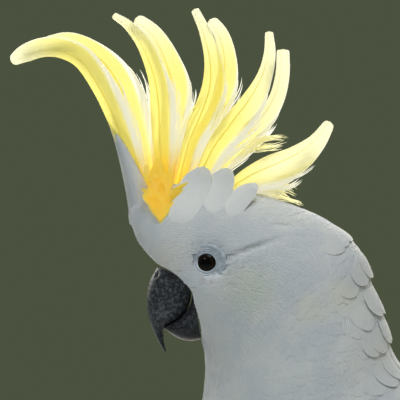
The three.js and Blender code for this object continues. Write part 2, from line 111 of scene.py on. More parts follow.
def through(rows, at):
    """A Catmull-Rom curve through rows of numbers, at fractional row numbers; its ends run
    straight on."""
    rows = np.asarray(rows, float)
    rows = np.vstack([2 * rows[0] - rows[1], rows, 2 * rows[-1] - rows[-2]])
    at = np.asarray(at, float)
    first = np.clip(np.floor(at).astype(int), 0, len(rows) - 4)
    f = np.clip(at - first, -0.5, 1.5)[..., None]
    a, b, c, d = (rows[first + k] for k in range(4))
    return b + 0.5 * f * (c - a + f * (2 * a - 5 * b + 4 * c - d + f * (3 * (b - c) + d - a)))


def ring(rows, at, angle, grow):
    """A point of a ring that stands across the middle plane. It runs cos(angle) of the way from
    the waist to the back or belly, and sin(angle) of the half width to the side."""
    back_x, back_z, belly_x, belly_z, half, waist = np.moveaxis(through(rows, at), -1, 0)
    up = np.cos(angle)
    depth = np.hypot(back_x - belly_x, back_z - belly_z)
    along = waist + up * (np.where(up > 0, 1 - waist, waist) + grow / depth)
    x = belly_x + (back_x - belly_x) * along
    z = belly_z + (back_z - belly_z) * along
    return np.stack(np.broadcast_arrays(x, np.sin(angle) * (half + grow), z), -1)


def body(row, angle, grow):
    """The ring, sunk by a Gaussian of the distance to each crease and by a dish at the eye."""
    points = ring(BODY, row, angle, grow)
    x, y, z = np.moveaxis(points, -1, 0)
    sunk = DISH_DEPTH * np.exp(-(np.hypot(x, z) / DISH_RADIUS) ** 4)
    for (x0, z0), (x1, z1), depth, width in CREASES:
        along, up = x1 - x0, z1 - z0
        part = np.clip(((x - x0) * along + (z - z0) * up) / (along**2 + up**2), 0, 1)
        above = (z - z0) - (x - x0) * up / along
        gap = np.hypot(x - x0 - part * along, z - z0 - part * up)
        fade = np.sin(np.pi * np.clip(part, 0.06, 0.94)) ** 0.7
        lip = LIP_SHARE * np.exp(-(((above - LIP_OFF) / LIP_WIDTH) ** 2)) * (gap < 12)
        sunk += depth * fade * (np.exp(-((gap / width) ** 2)) - lip)
    points[..., 1] = y - np.sign(y) * sunk * np.clip((np.abs(y) - 8) / 8, 0, 1)
    return points


def round_body(side, upper, lower, share):
    """The angle at a share of the way between two edges in degrees round the body."""
    return side * np.radians(upper + (lower - upper) * share)


def on_wing(side):
    """The outer face of a folded wing, over station number u and the share v from its upper to
    its lower edge: the body's ring, raised by thickness * sin(pi v) ** 0.6."""

    def surface(u, v, height):
        row, upper, lower, thick = np.moveaxis(through(WING, u), -1, 0)
        rise = thick * np.sin(np.pi * np.clip(v, 0.01, 0.99)) ** 0.6
        return body(row, round_body(side, upper, lower, v), rise + height)

    return surface


def face_edge(z):
    """How far forward the feathers of the face reach at a height."""
    return np.interp(z, *np.array(FACE_EDGE).T)


def in_frame(points):
    """Millimetres from the eye become metres in the part's frame."""
    return (points + [EYE_X, 0, EYE_HEIGHT]) * 1e-3


def turns(count, start=0.0):
    """Even steps once round."""
    return np.linspace(start, start + 2 * np.pi, count + 1)[:-1]


def dot(a, b):
    return (a * b).sum(-1)


def sheet(grid):
    """Four corners for each cell of a grid of point numbers."""
    corners = [grid[:-1, :-1], grid[1:, :-1], grid[1:, 1:], grid[:-1, 1:]]
    return np.stack(corners, -1).reshape(-1, 4)


def closed_rings(points):
    """A tube through rings of points, (rings, around, 3), with a fan to a pole at each end. Its
    rings turn so that the faces point outwards, which the signed volume tells."""
    rings, around = points.shape[:2]
    numbers = np.arange(rings * around).reshape(rings, around)
    looped = np.hstack([numbers, numbers[:, :1]])
    pole = np.full(around, rings * around)
    quads, fans = sheet(looped), np.vstack([
        np.stack([pole, looped[0, :-1], looped[0, 1:]], -1),
        np.stack([pole + 1, looped[-1, 1:], looped[-1, :-1]], -1),
    ])
    every = np.vstack([points.reshape(-1, 3), points[0].mean(0), points[-1].mean(0)])
    a, b, c = (every[quads[:, k]] - every.mean(0) for k in range(3))
    if dot(a, np.cross(b, c)).sum() < 0:
        quads, fans = quads[:, ::-1], fans[:, ::-1]
    return every, [quads, fans]


def joined(parts):
    """Several (points, faces) as one."""
    points, quads, fans, count = [], [], [], 0
    for more, faces in parts:
        points.append(more)
        for face in faces:
            (quads if face.shape[1] == 4 else fans).append(face + count)
        count += len(more)
    return np.vstack(points), [np.vstack(f) for f in (quads, fans) if f]


def piece(name, points, faces, material, maps=None, values=None, normals=None):
    """A mesh at the origin from points in mm and one array of faces for each number of corners,
    with UV maps, values and shading normals given at its points. It rides on the bird."""
    corners = np.concatenate([f.ravel() for f in faces]).astype(np.int32)
    sizes = np.concatenate([np.full(len(f), f.shape[1]) for f in faces])
    mesh = bpy.data.meshes.new(name)
    mesh.vertices.add(len(points))
    mesh.vertices.foreach_set("co", in_frame(points).astype(np.float32).ravel())
    mesh.loops.add(len(corners))
    mesh.loops.foreach_set("vertex_index", corners)
    mesh.polygons.add(len(sizes))
    mesh.polygons.foreach_set("loop_start", np.cumsum(sizes, dtype=np.int32) - sizes)
    mesh.polygons.foreach_set("use_smooth", np.ones(len(sizes), bool))
    for key, uv in (maps or {}).items():
        layer = mesh.uv_layers.new(name=key)
        layer.uv.foreach_set("vector", uv[corners].astype(np.float32).ravel())
    for key, value in (values or {}).items():
        mesh.attributes.new(key, "FLOAT", "POINT").data.foreach_set("value", value)
    mesh.update(calc_edges=True)
    if normals is not None:
        # each corner takes its point's shading normal, turned to its own face's side
        flat = np.zeros(3 * len(sizes), np.float32)
        mesh.polygons.foreach_get("normal", flat)
        shading = normals[corners]
        side = np.sign((shading * np.repeat(flat.reshape(-1, 3), sizes, axis=0)).sum(-1))
        mesh.normals_split_custom_set((shading * side[:, None]).tolist())
    mesh.materials.append(material)
    obj = bpy.data.objects.new(name, mesh)
    bpy.context.scene.collection.objects.link(obj)
    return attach(obj, "root")


def fused(obj, voxel):
    """Remeshes an object of several closed bodies into one closed skin."""
    remesh = obj.modifiers.new("fuse", "REMESH")
    remesh.mode, remesh.voxel_size, remesh.use_smooth_shade = "VOXEL", voxel, True
    graph = bpy.context.evaluated_depsgraph_get()
    mesh = bpy.data.meshes.new_from_object(obj.evaluated_get(graph))
    obj.modifiers.clear()
    mesh.materials.clear()
    mesh.materials.append(obj.data.materials[0])
    mesh.polygons.foreach_set("use_smooth", np.ones(len(mesh.polygons), bool))
    obj.data = mesh
    return obj


class Wire:
    """A socket of a material. Arithmetic adds Math nodes, and add() places any other node."""

    def __init__(self, socket):
        self.socket = socket

    def add(self, kind, settings=None, inputs=None, out=0):
        """A node of a type, with its settings set first, then values or wires on its sockets."""
        tree = self.socket.id_data
        node = tree.nodes.new("ShaderNode" + kind)
        for key, value in (settings or {}).items():
            setattr(node, key, value)
        for key, value in (inputs or {}).items():
            if isinstance(value, Wire):
                tree.links.new(value.socket, node.inputs[key])
            else:
                node.inputs[key].default_value = value
        return Wire(node.outputs[out])

    def math(self, operation, *values):
        return self.add("Math", {"operation": operation}, dict(enumerate(values)))

    def __add__(self, other):
        return self.math("ADD", self, other)

    def __sub__(self, other):
        return self.math("SUBTRACT", self, other)

    def __rsub__(self, other):
        return self.math("SUBTRACT", other, self)

    def __mul__(self, other):
        return self.math("MULTIPLY", self, other)

    __radd__, __rmul__ = __add__, __mul__

    def __abs__(self):
        return self.math("ABSOLUTE", self)

    def step(self, low, high):
        """0 below low, 1 above high, and smooth between them."""
        settings = {"interpolation_type": "SMOOTHSTEP"}
        return self.add("MapRange", settings, {0: self, 1: low, 2: high})

    def tint(self, under, over):
        """The colour under, with the colour over it as far as this wire says."""
        paint = [(*c, 1) if isinstance(c, tuple) else c for c in (under, over)]
        return self.add("Mix", {"data_type": "RGBA"}, {0: self, 6: paint[0], 7: paint[1]}, 2)

    def xyz(self):
        return [self.add("SeparateXYZ", inputs={0: self}, out=k) for k in range(3)]

    def texture(self, kind, scale, **inputs):
        """A texture over these coordinates."""
        return self.add("Tex" + kind, inputs={"Vector": self, "Scale": scale, **inputs})

    def distance(self, point):
        """From these coordinates to a point given in mm from the eye."""
        centre = tuple(in_frame(np.array(point, float)))
        return self.add("VectorMath", {"operation": "DISTANCE"}, {0: self, 1: centre}, "Value")

    def translucent(self, colour):
        return self.add("BsdfTranslucent", inputs={"Color": (*colour, 1)})

    def mixed(self, share, first, second):
        return self.add("MixShader", inputs={0: share, 1: first, 2: second})

    def surface(self, colour, rough, relief=None, **inputs):
        """A plain surface, with relief as (height, strength, depth in metres of its bump)."""
        if relief:
            bump = dict(zip(("Height", "Strength", "Distance"), relief))
            inputs["Normal"] = self.add("Bump", inputs=bump)
        inputs = {key.replace("_", " "): value for key, value in inputs.items()}
        inputs.update({"Base Color": colour, "Roughness": rough})
        return self.add("BsdfPrincipled", inputs=inputs)


def finish(name, build):
    """A material whose surface is what build makes from the Object coordinates."""
    material = bpy.data.materials.new(name)
    material.use_nodes = True
    tree = material.node_tree
    tree.nodes.clear()
    place = Wire(tree.nodes.new("ShaderNodeTexCoord").outputs["Object"])
    output = tree.nodes.new("ShaderNodeOutputMaterial")
    tree.links.new(build(place).socket, output.inputs["Surface"])
    return material


def mirrored(place):
    """The Object coordinates with both sides of the bird laid on one."""
    x, y, z = place.xyz()
    return place.add("CombineXYZ", inputs={0: x, 1: abs(y), 2: z})


def spot(place, x, y, z, inner, outer):
    """1 within inner mm of a point given from the eye, fading to 0 at outer mm."""
    return 1 - place.distance([x, y, z]).step(inner * 1e-3, outer * 1e-3)


WHITE, WARM_WHITE = (0.76, 0.765, 0.79), (0.85, 0.84, 0.82)
# the colour of each marking, then its x, y, z, inner, outer, strength, in mm from the eye
EAR = [(0.72, 0.76, 0.45), (21, 28, -14, 2, 20, 0.3)]
NAPE = [(0.9, 0.8, 0.3), (66, 26, -15, 1, 13, 0.18), (50, 34, -22, 1, 12, 0.12)]
LORES = [(0.8, 0.66, 0.5), (-19, 20, 2, 2, 14, 0.28)]
# a tan stain along the edge of the bill, darkened to brown as painted shade where the feathers meet
# the bill
BILL_EDGE_STAIN_AND_SHADE = [
    (0.42, 0.25, 0.12),
    (-36, 9, 10, 0.5, 5, 0.5), (-31, 11, 4, 0.5, 5.5, 0.7), (-24, 12, -1, 0.5, 5.5, 0.8),
    (-17, 13, -6, 0.5, 5.5, 0.8), (-11, 14, -12, 0.5, 5, 0.8), (-8, 13, -20, 0.5, 4.5, 0.5),
]
UNDER_EYE = [(0.62, 0.42, 0.38), (-3, 27, -9, 0.5, 3.2, 0.3), (2, 27.5, -9.2, 0.5, 3.2, 0.3)]


def marked(place, colour, *markings):
    """A colour with soft round markings over it, on both sides of the bird."""
    folded = mirrored(place)
    for paint, *spots in markings:
        for *where, strength in spots:
            colour = (spot(folded, *where) * strength).tint(colour, paint)
    return colour


def coat_colour(place):
    """The white of the coat with its pale sulphur and ear stains, and at the bill's edge a tan
    stain darkened to brown as painted shade.
    """
    cloud = place.texture("Noise", 55.0, Detail=3.0)
    colour = cloud.step(0.35, 0.65).tint(WHITE, WARM_WHITE)
    return marked(place, colour, EAR, NAPE, LORES, BILL_EDGE_STAIN_AND_SHADE, UNDER_EYE)


def hide(place):
    pores = place.texture("Voronoi", 900.0)
    return place.surface(coat_colour(place), 0.7, (pores, 0.3, 0.0004))


around = turns(96, -np.pi)
rows = np.linspace(0, len(BODY) - 1, 200)[:, None]
coat_depth = np.interp(rows, [0, 8, 13, 22, 25], [COAT_HEAD, 1.2, COAT_BODY, COAT_BODY, 1])
flesh = body(rows, around, -coat_depth)
# skin that would stand in front of the edge of the face lies on that edge
flesh[..., 0] = np.maximum(flesh[..., 0], face_edge(flesh[..., 2]) + 0.8)
hull = [closed_rings(flesh)]
for side in (LEFT, RIGHT):
    shank = ring(SHANK, np.linspace(0, 4, 40)[:, None], around[::3], -1.5)
    hull.append(closed_rings(shank + [0, side * FOOT_Y, 0]))
    u, v = np.linspace(0.2, 6.8, 50)[:, None], np.linspace(0, 1, 25)
    outer = on_wing(side)(u, v, -3.0)
    row, upper, lower, _ = np.moveaxis(through(WING, u), -1, 0)
    inner = body(row, round_body(side, upper, lower, v[::-1]), -8.0)
    hull.append(closed_rings(np.concatenate([outer, inner], 1)))
skin = fused(piece("skin", *joined(hull), finish("bare_hide", hide)), SKIN_VOXEL)
FLESH = ["head", "neck", "trunk"] + [f"{n}_{word}" for n in ("shank", "wing") for _, word in SIDES]
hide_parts(*FLESH)

# ---- feathers of the head
# Short, soft, hair-like white feathers that run back from the bill, longest on the cheeks. Each
# is a thin closed vane with a ragged tip that roots in the skin and lies over the next row.

VANE_CLOSES = 0.6  # where along a vane its outline starts to close
BACKING, BACKING_SHARE = 0.06, 0.03  # thickness of a vane, and what it gains with half width
BAKE_EDGE, BAKE_PATCH = 0.003, 0.003  # margin and size of a feather's patch on the bake's map


def unit(vectors):
    return vectors / np.linalg.norm(vectors, axis=-1, keepdims=True)


def packed(upper, under):
    """Grids of (feathers, rows, columns, k): the upper sheet, then the inside of the under one."""
    count, size = len(upper), upper.shape[-1]
    inside = under[:, 1:-1, 1:-1].reshape(count, -1, size)
    return np.concatenate([upper.reshape(count, -1, size), inside], 1).reshape(-1, size)


def vanes(upper, under):
    """Closed vanes: an upper sheet, and an under sheet that shares its rim. Both are cut into the
    same triangles, and a corner's two triangles meet along the line inwards from it."""
    count, rows, columns = upper.shape[:3]
    top = np.arange(rows * columns).reshape(rows, columns)
    low = top.copy()
    low[1:-1, 1:-1] = top.size + np.arange((rows - 2) * (columns - 2)).reshape(rows - 2, -1)
    faces = np.stack([sheet(top), sheet(low)])
    turned = [columns - 2, (rows - 2) * (columns - 1)]
    faces[:, turned] = np.roll(faces[:, turned], 1, axis=-1)
    faces = np.vstack([faces[0], faces[1][:, [0, 3, 2, 1]]])
    size = top.size + (rows - 2) * (columns - 2)
    faces = (faces[None] + (np.arange(count) * size)[:, None, None]).reshape(-1, 4)
    return packed(upper, under), [faces]


def form(rows, columns, blunt=0.45, neck=0.3):
    """The outline of a vane as (shares along, half widths, shares across): it widens as a sine
    to VANE_CLOSES of its length, and closes as an ellipse."""
    s = np.linspace(0, 1, rows)[:, None] ** 0.85
    widening = neck + (1 - neck) * np.sin(np.clip(s / VANE_CLOSES, 0, 1) * np.pi / 2)
    closed = np.clip((s - VANE_CLOSES) / (1 - VANE_CLOSES), 0, 1)
    return s, widening * np.sqrt(1 - (1 - blunt**2) * closed**2), np.linspace(-1, 1, columns)


def layer(upper, under, lie, bake, tone, *normal):
    """Closed vanes as (points, faces, lie, bake, tone, normals). lie is the shares across and
    along a vane, bake its place on the bake's map, tone a shade of its own."""
    whole = upper.shape[:3]
    grids = [np.broadcast_to(k, whole + (3,)) for k in normal]
    for part in ([tone], bake, lie):
        grids.insert(0, np.stack([np.broadcast_to(k, whole) for k in part], -1))
    return *vanes(upper, under), *(packed(grid, grid) for grid in grids)


def lay(surface, u, v, length, half, draw, shape, turn=0.0, root=-1.5, tip=0.3, camber=0.25,
        ragged=0.06, curl=0.0, unwrap=None, crisp=0.3):
    """Feathers on a surface(u, v, height). A point s of the way along a vane and c across it
    lies s * length and c * half * width(s) away, turned into steps of u and v by the surface's
    own metric, at the height root + (tip - root) * s ** 0.6 - camber * half * c ** 2. Its shading
    normal is the surface's, with a share, crisp, of the vane's own."""
    s, width, c = shape
    e = 0.02
    step_u = (surface(u + e, v, 0.0) - surface(u - e, v, 0.0)) / (2 * e)
    step_v = (surface(u, v + e, 0.0) - surface(u, v - e, 0.0)) / (2 * e)
    normal = unit(np.cross(step_u, step_v))
    normal *= np.sign(dot(normal, surface(u, v, 1.0) - surface(u, v, 0.0)))[:, None]
    ahead = unit(step_u)
    turn = np.broadcast_to(turn, u.shape)[:, None]
    ahead = np.cos(turn) * ahead + np.sin(turn) * np.cross(normal, ahead)
    uu, uv, vv = dot(step_u, step_u), dot(step_u, step_v), dot(step_v, step_v)

    def to(value):
        return np.broadcast_to(value, u.shape)[:, None, None]

    def steps(way):
        a, b, area = dot(step_u, way), dot(step_v, way), uu * vv - uv**2
        return to((vv * a - uv * b) / area), to((uu * b - uv * a) / area)

    teeth = draw.uniform(0, ragged, (len(u), 1, len(c)))
    teeth[:, :, 1::2] += ragged * 0.6
    teeth[:, :, [0, -1]] = teeth[:, :, [1, -2]] / 2
    reach = to(length) * s * (1 - (teeth + 0.05 * c**2) * s)
    across = to(half) * width * c
    (ahead_u, ahead_v), (aside_u, aside_v) = steps(ahead), steps(np.cross(normal, ahead))
    at_u = to(u) + reach * ahead_u + across * aside_u
    at_v = to(v) + reach * ahead_v + across * aside_v
    height = to(root) + (to(tip) - to(root)) * s**0.6 - camber * to(half) * c**2 * width
    height = height - curl * np.clip(s - 0.75, 0, 1) ** 2 * 16
    upper = surface(at_u, at_v, height)
    under = surface(at_u, at_v, height - BACKING - BACKING_SHARE * to(half))
    # each feather is baked on a small patch at its root's place on the unwrapped skin
    low_u, high_u, low_v, high_v = unwrap or (u.min(), u.max(), v.min(), v.max())
    lie = (c + 1) / 2, s
    home = (v - low_v) / (high_v - low_v), (u - low_u) / (high_u - low_u)
    room = 1 - 2 * BAKE_EDGE - BAKE_PATCH
    bake = [BAKE_EDGE + room * to(k) + BAKE_PATCH * part for k, part in zip(home, lie)]
    base_u = surface(at_u + e, at_v, height) - surface(at_u - e, at_v, height)
    base_v = surface(at_u, at_v + e, height) - surface(at_u, at_v - e, height)
    sheen = unit(np.cross(base_u, base_v))
    own = unit(np.cross(np.gradient(upper, axis=1), np.gradient(upper, axis=2)))
    own *= np.sign(dot(sheen, own))[..., None]
    sheen = unit(sheen * (1 - crisp) + own * crisp)
    return layer(upper, under, lie, bake, draw.random((len(u), 1, 1)), sheen)


def plumed(name, layers, material):
    """One piece of several layers of vanes."""
    points, faces = joined([part[:2] for part in layers])
    lie, bake, tone, *normals = (np.concatenate(k) for k in zip(*(part[2:] for part in layers)))
    maps, values = {"OFBake": bake, "Lie": lie}, {"Tone": tone[:, 0]}
    return piece(name, points, faces, material, maps, values, *normals)


def coat(name, layers, material, *nodes):
    """A white piece of the coat; nodes are the CAD nodes it stands for."""
    obj = plumed(name, layers, material)
    if nodes:
        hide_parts(*nodes)


def roots(surface, first, last, along, across, draw, edges=(-np.pi, np.pi)):
    """Staggered rows of roots from u = first to last. The rows stand along(u) mm apart where
    they spread most, and where they draw together only some of each row is kept."""
    u, turn, found = first, 0, []
    v = np.linspace(*edges, 181)
    while u < last:
        here = surface(np.full_like(v, u), v, 0.0)
        ahead = np.linalg.norm(surface(np.full_like(v, u + 0.05), v, 0.0) - here, axis=-1) / 0.05
        gone = np.concatenate([[0], np.cumsum(np.linalg.norm(np.diff(here, axis=0), axis=-1))])
        count = max(int(gone[-1] / across(u)), 1)
        places = np.arange(count) + 0.25 + 0.5 * (turn % 2) + draw.uniform(-0.2, 0.2, count)
        places = np.interp(places * gone[-1] / count, gone, v)
        kept = places[draw.random(count) < np.interp(places, v, ahead) / ahead.max()]
        step = along(u) / ahead.max()
        found.append(np.stack([u + draw.uniform(-0.3, 0.3, len(kept)) * step, kept]))
        u, turn = u + step, turn + 1
    return np.hstack(found)


def table(*pairs):
    """A value that changes evenly between (u, value) pairs."""
    return lambda u: np.interp(u, *np.array(pairs, float).T)


def of_feather(place):
    """The shares across and along a feather, and its tone."""
    across, along, _ = place.add("UVMap", {"uv_map": "Lie"}).xyz()
    return across, along, place.add("Attribute", {"attribute_name": "Tone"}, out="Fac")


# a brighter white painted in as light, a bluish shaded white, and the colour of light through a
# vane
PAINTED_LIT_WHITE, SHADED_WHITE, LIGHT_THROUGH = (0.95, 0.93, 0.9), (0.6, 0.62, 0.68), (0.95, 0.93, 0.86)


def plumage(stripes, slant, glow, pale=0.0):
    """White vanes: the coat's markings, a tone for each feather, and fine barbs, a sine of
    stripes * (slant * along - |across|); glow is the share of light that passes through, and
    pale how far the white is lifted towards a brighter white that is painted light."""

    def build(place):
        across, along, tone = of_feather(place)
        barbs = (along * slant - abs(across - 0.5)) * (stripes * 2 * math.pi)
        barbs = barbs.math("SINE", barbs)
        # painted light: the white is lifted towards a brighter white as far as pale says
        colour = place.math("ADD", pale, 0).tint(coat_colour(place), PAINTED_LIT_WHITE)
        colour = (tone * 0.08 + barbs * 0.03 + 0.02).tint(colour, SHADED_WHITE)
        face = place.surface(colour, 0.75, (barbs, 0.25, 0.0003), Sheen_Weight=0.15)
        return place.mixed(glow, face, place.translucent(LIGHT_THROUGH))

    return build


LID_CLEARANCE = [(0, 7.4), (0.5, 6.9), (1, 6.9)]  # share along a feather, mm it keeps from the eye


def clear_of_face(u, v, reach):
    """Which feathers of the body root behind the edge of the face, outside the bare eye ring,
    and don't reach over it."""
    root = body(u, v, 0.0)
    tip = body(u + 0.02, v, 0.0) - root
    tip *= (reach / np.linalg.norm(tip, axis=-1))[:, None]
    away = [np.hypot(*(root + tip * k)[:, ::2].T) > least for k, least in LID_CLEARANCE]
    return (root[:, 0] > face_edge(root[:, 2]) + 0.6) & np.all(away, axis=0)


draw = np.random.default_rng(7)
head_vane = form(4, 5, blunt=0.6)
head_length = table((0, 3.6), (3, 5.5), (6, 7.5), (9, 9))
row_step, root_step = table((0, 1.3), (9, 1.9)), table((0, 1.15), (4, 1.4), (9, 1.8))
face_white = finish("face_plumage", plumage(3, 0.4, 0.3))
for name, first, last in (("face_feathers", 0.15, 4.6), ("cheek_feathers", 4.6, 8.9)):
    u, v = roots(body, first, last, row_step, root_step, draw)
    length = head_length(u) * draw.uniform(0.85, 1.15, len(u))
    from_eye = np.hypot(*body(u, v, 0.0)[:, ::2].T)
    length = length * np.interp(from_eye, [8, 15], [0.4, 1])
    kept = clear_of_face(u, v, length)
    u, v, length = u[kept], v[kept], length[kept]
    turn, tip = draw.normal(0, 0.1, len(u)), 0.1 + draw.normal(0, 0.02, len(u))
    feathers = lay(body, u, v, length, length * 0.27, draw, head_vane, turn, root=-0.55, tip=tip,
                   camber=0.02, ragged=0.12, crisp=0.06)
    coat(name, [feathers], face_white)

# ---- feathers of the neck and body
# Broad soft contour feathers in staggered rows. On the nape they stand off the neck in heavy
# scalloped tiers; on the breast, belly, back and rump they lie close, and grow towards the tail.


def under_wing(u, v):
    """Roots that a folded wing hides."""
    stations = np.array(WING)
    upper, lower = (np.interp(u, stations[:, 0], stations[:, k]) for k in (1, 2))
    inside = (np.degrees(np.abs(v)) > upper + 6) & (np.degrees(np.abs(v)) < lower - 6)
    return inside & (u > 13.8) & (u < 20.1)


draw = np.random.default_rng(11)
body_white = finish("body_plumage", plumage(14, 0.9, 0.3))
broad_vane = form(6, 9, blunt=0.55)
body_length = table((8, 11), (10, 16), (13, 22), (20, 28), (24, 24))
row_step, root_step = table((8, 3), (13, 5), (24, 7)), table((8, 2.9), (13, 5), (24, 6.5))
BODY_GROUPS = [
    ("neck_feathers", 8.7, 12.9), ("breast_feathers", 12.9, 16.5), ("rump_feathers", 16.5, 24.2),
]
for name, first, last in BODY_GROUPS:
    u, v = roots(body, first, last, row_step, root_step, draw)
    kept = ~under_wing(u, v)
    u, v = u[kept], v[kept]
    length = body_length(u) * draw.uniform(0.9, 1.1, len(u))
    root = -0.35 * np.interp(u, [8, 13], [1.4, COAT_BODY])
    turn = draw.normal(0, 0.06, len(u))
    feathers = lay(body, u, v, length, length * 0.3, draw, broad_vane, turn, root=root, tip=0.12,
                   camber=0.03, crisp=0.06)
    coat(name, [feathers], body_white)

# body row where each tier of the nape ends, how far it stands off and how long its feathers are
NAPE_TIERS = [
    (9.62, 1.3, 17), (10.95, 2.2, 20), (11.72, 2.0, 20), (12.7, 2.0, 21), (13.6, 2.0, 22),
    (14.5, 1.6, 22),
]
NAPE_HALF, NAPE_SIDE = 7.8, 1.1  # half width of a feather, and how far round the neck a tier runs
tiers = []
for tier, (end, lift, length) in enumerate(NAPE_TIERS):
    count = 10 + tier % 2
    v = np.linspace(-NAPE_SIDE, NAPE_SIDE, count) * (1 if tier % 2 else 0.92)
    v = v + draw.normal(0, 0.03, count)
    spread = np.clip(np.abs(v) / 1.15, 0, 1)
    reach = length * draw.uniform(0.94, 1.06, count)
    row = body(end + 0 * v, v, 0.0) - body(end - 0.1 + 0 * v, v, 0.0)
    row_mm = np.linalg.norm(row, axis=-1) / 0.1
    u = end - reach / row_mm + draw.normal(0, 0.05, count) * spread
    lift = lift * (1 - spread**2) ** 2.5 + 0.2
    tiers.append(
        lay(body, u, v, reach, NAPE_HALF, draw, form(10, 11, neck=0.6), root=-1.2, tip=lift,
            camber=0.05, ragged=0.02, curl=0.3, unwrap=(8, 15, -1.4, 1.4), crisp=0.4)
    )
# the nape's white is lifted a little towards a brighter white, as painted light
coat("nape_feathers", tiers, finish("nape_plumage", plumage(14, 0.9, 0.35, 0.2)))

# ---- crest
# Ten long sulphur feathers that stand in five pairs and curl forward, golden where they root
# and paler to the white rear edge. Each has a fine shaft and a thin web whose barbs part into
# loose strands low on the rear edge.

CREST_PITCH, CREST_FOOT_Z, CREST_SPLAY = 1.3, 30, 0.008
# plane, how square the tip is, then x, z and half width from the tip to the root, in mm from
# the eye
CREST = {
    "1a": (-2.5, 2, [
        [-98.2, 99.8, 2.4], [-91.5, 104, 4.4], [-82, 107.2, 4.9], [-72, 106.6, 5.2],
        [-61.5, 101, 5.6], [-51.8, 87, 5.8], [-44, 70, 5.6], [-36.5, 48.5, 4.8], [-28, 27, 3],
    ]),
    "1b": (2.5, 2, [
        [-89, 107.2, 2], [-81, 110.3, 2.6], [-70, 112, 3.2], [-59, 107.5, 4.2], [-48, 98, 6],
        [-40, 85, 7.5], [-35, 68.5, 8], [-31, 51, 6.5], [-25, 29, 3.5],
    ]),
    "2a": (-1.5, 5, [
        [-47.4, 123.4, 1.6], [-39, 117.5, 2.6], [-31, 107, 3.8], [-25, 92, 5],
        [-22.5, 78.5, 6.4], [-22, 61, 5.8], [-21.5, 32, 3],
    ]),
    "2b": (1.5, 2, [
        [-36.5, 122, 3.2], [-26.5, 114, 4], [-19, 100, 5.6], [-15, 86, 6.8], [-16, 71, 6.5],
        [-19, 53.5, 4.8], [-20.5, 32, 2.8],
    ]),
    "3a": (-0.5, 5, [
        [-6.8, 126.6, 2], [-1.5, 115, 2.9], [2.5, 101, 4.4], [3, 87, 6.2], [-1, 73.5, 6.8],
        [-8, 58.5, 5], [-15, 32, 2.8],
    ]),
    "3b": (0.5, 2, [
        [1, 121.4, 3], [7, 113, 3.8], [10, 100, 4.6], [9, 87, 5.4], [4, 73.5, 5], [-4, 61, 4],
        [-12, 32, 2.8],
    ]),
    "4a": (-3.5, 5, [
        [30.4, 115, 2], [30.7, 103.5, 3], [28, 92, 4], [22, 79.5, 6], [13, 67, 7],
        [3, 53.5, 5.6], [-7, 32, 3],
    ]),
    "4b": (3.5, 5, [
        [37.7, 106.8, 3.2], [37.4, 94, 3.6], [34.5, 82, 4], [28, 71, 4.8], [18.5, 60, 4.8],
        [7, 47, 3.8], [-4, 30, 2.4],
    ]),
    "5a": (-4.5, 3, [
        [61, 70, 2.6], [54, 59.5, 4.6], [44, 51, 7], [32, 45, 8.4], [20, 40, 6.6], [8, 33, 3.4],
    ]),
    "5b": (4.5, 3, [
        [58, 63.5, 2], [48.5, 52.5, 3.8], [38.5, 45, 5.6], [27, 39.5, 6.4], [16, 36, 5],
        [6, 30, 2.8],
    ]),
}
SHAFT_AT = -0.35  # where the shaft runs, from -1 at the front edge to 1 at the rear
CREST_TIP, CREST_CUP = 4, 0.9  # mm over which the tip closes, mm by which the web is cupped
SIDEWAYS = np.array([0.0, -1.0, 0.0])  # the shading normal of thin strands
GOLD, DARK_GOLD, LEMON = (1.0, 0.8, 0.07), (0.82, 0.48, 0.03), (0.92, 0.88, 0.38)
# the white at the rear edge is partly the feathers' own white and partly a painted highlight where
# the vane curls into the light
CREAM, WHITE_EDGE_AND_HIGHLIGHT = (0.93, 0.91, 0.6), (0.96, 0.95, 0.9)
STREAK, FRONT_EDGE = (0.84, 0.68, 0.2), (0.78, 0.62, 0.16)
# the light through the web, under the cream, lemon, white and golden parts
THROUGH = (0.98, 0.965, 0.84), (0.97, 0.92, 0.5), (1, 0.99, 0.95), (1, 0.86, 0.22)
PAINTED_GLOW = 0.35  # painted glow: the web gives off its own colour, standing in for the light that soaks sideways through it


def heading(rows, later, sooner):
    """The way along rows of x and z, between two places on them."""
    return unit((through(rows, later) - through(rows, sooner))[..., :2])


def run_of(rows):
    """The length of a line through rows of x and z."""
    return np.linalg.norm(np.diff(np.array(rows)[:, :2], axis=0), axis=-1).sum()


def crest_vane(plane, square, rows):
    """The blade of one crest feather: w runs from 0 at the root to 1 at the tip and c from -1 at
    the front edge to 1 at the rear. Its middle line goes through the rows, and c steps across it
    by the half width, which closes over the last CREST_TIP as a superellipse of power square. The
    web is cupped by CREST_CUP * c ** 2 away from the middle plane of the crest."""
    length, last, rows = run_of(rows), len(rows) - 1, np.array(rows)[::-1]

    def at(w, c, off=0.0):
        x, z, half = np.moveaxis(through(rows, w * last), -1, 0)
        way = heading(rows, (w + 0.01) * last, (w - 0.01) * last)
        closing = (1 - np.clip((w - 1) * length / CREST_TIP + 1, 0, 1) ** square) ** (1 / square)
        reach = half * c * closing
        y = plane * CREST_PITCH * (1 + CREST_SPLAY * np.maximum(z - CREST_FOOT_Z, 0)) + off
        y = y - math.copysign(CREST_CUP, plane) * c**2 * np.minimum(half / 6, 1)
        # rear is to the right of the way up the feather
        return np.stack([x + way[..., 1] * reach, y, z - way[..., 0] * reach], -1)

    return at


def strips(path, half, thick):
    """Thin closed strips along paths in the plane of the crest, (count, points, 3), with half
    widths given at their points."""
    way = unit(np.gradient(path, axis=1))
    side = np.stack([-way[..., 2], 0 * way[..., 0], way[..., 0]], -1)
    c = np.array([-1.0, 0, 1])
    flat = path[:, :, None] + side[:, :, None] * (half[..., None] * c)[..., None]
    lift = np.zeros_like(flat)
    lift[..., 1] = np.broadcast_to(thick, half.shape)[..., None] * (1 - c**2) / 2
    return flat - lift, flat + lift


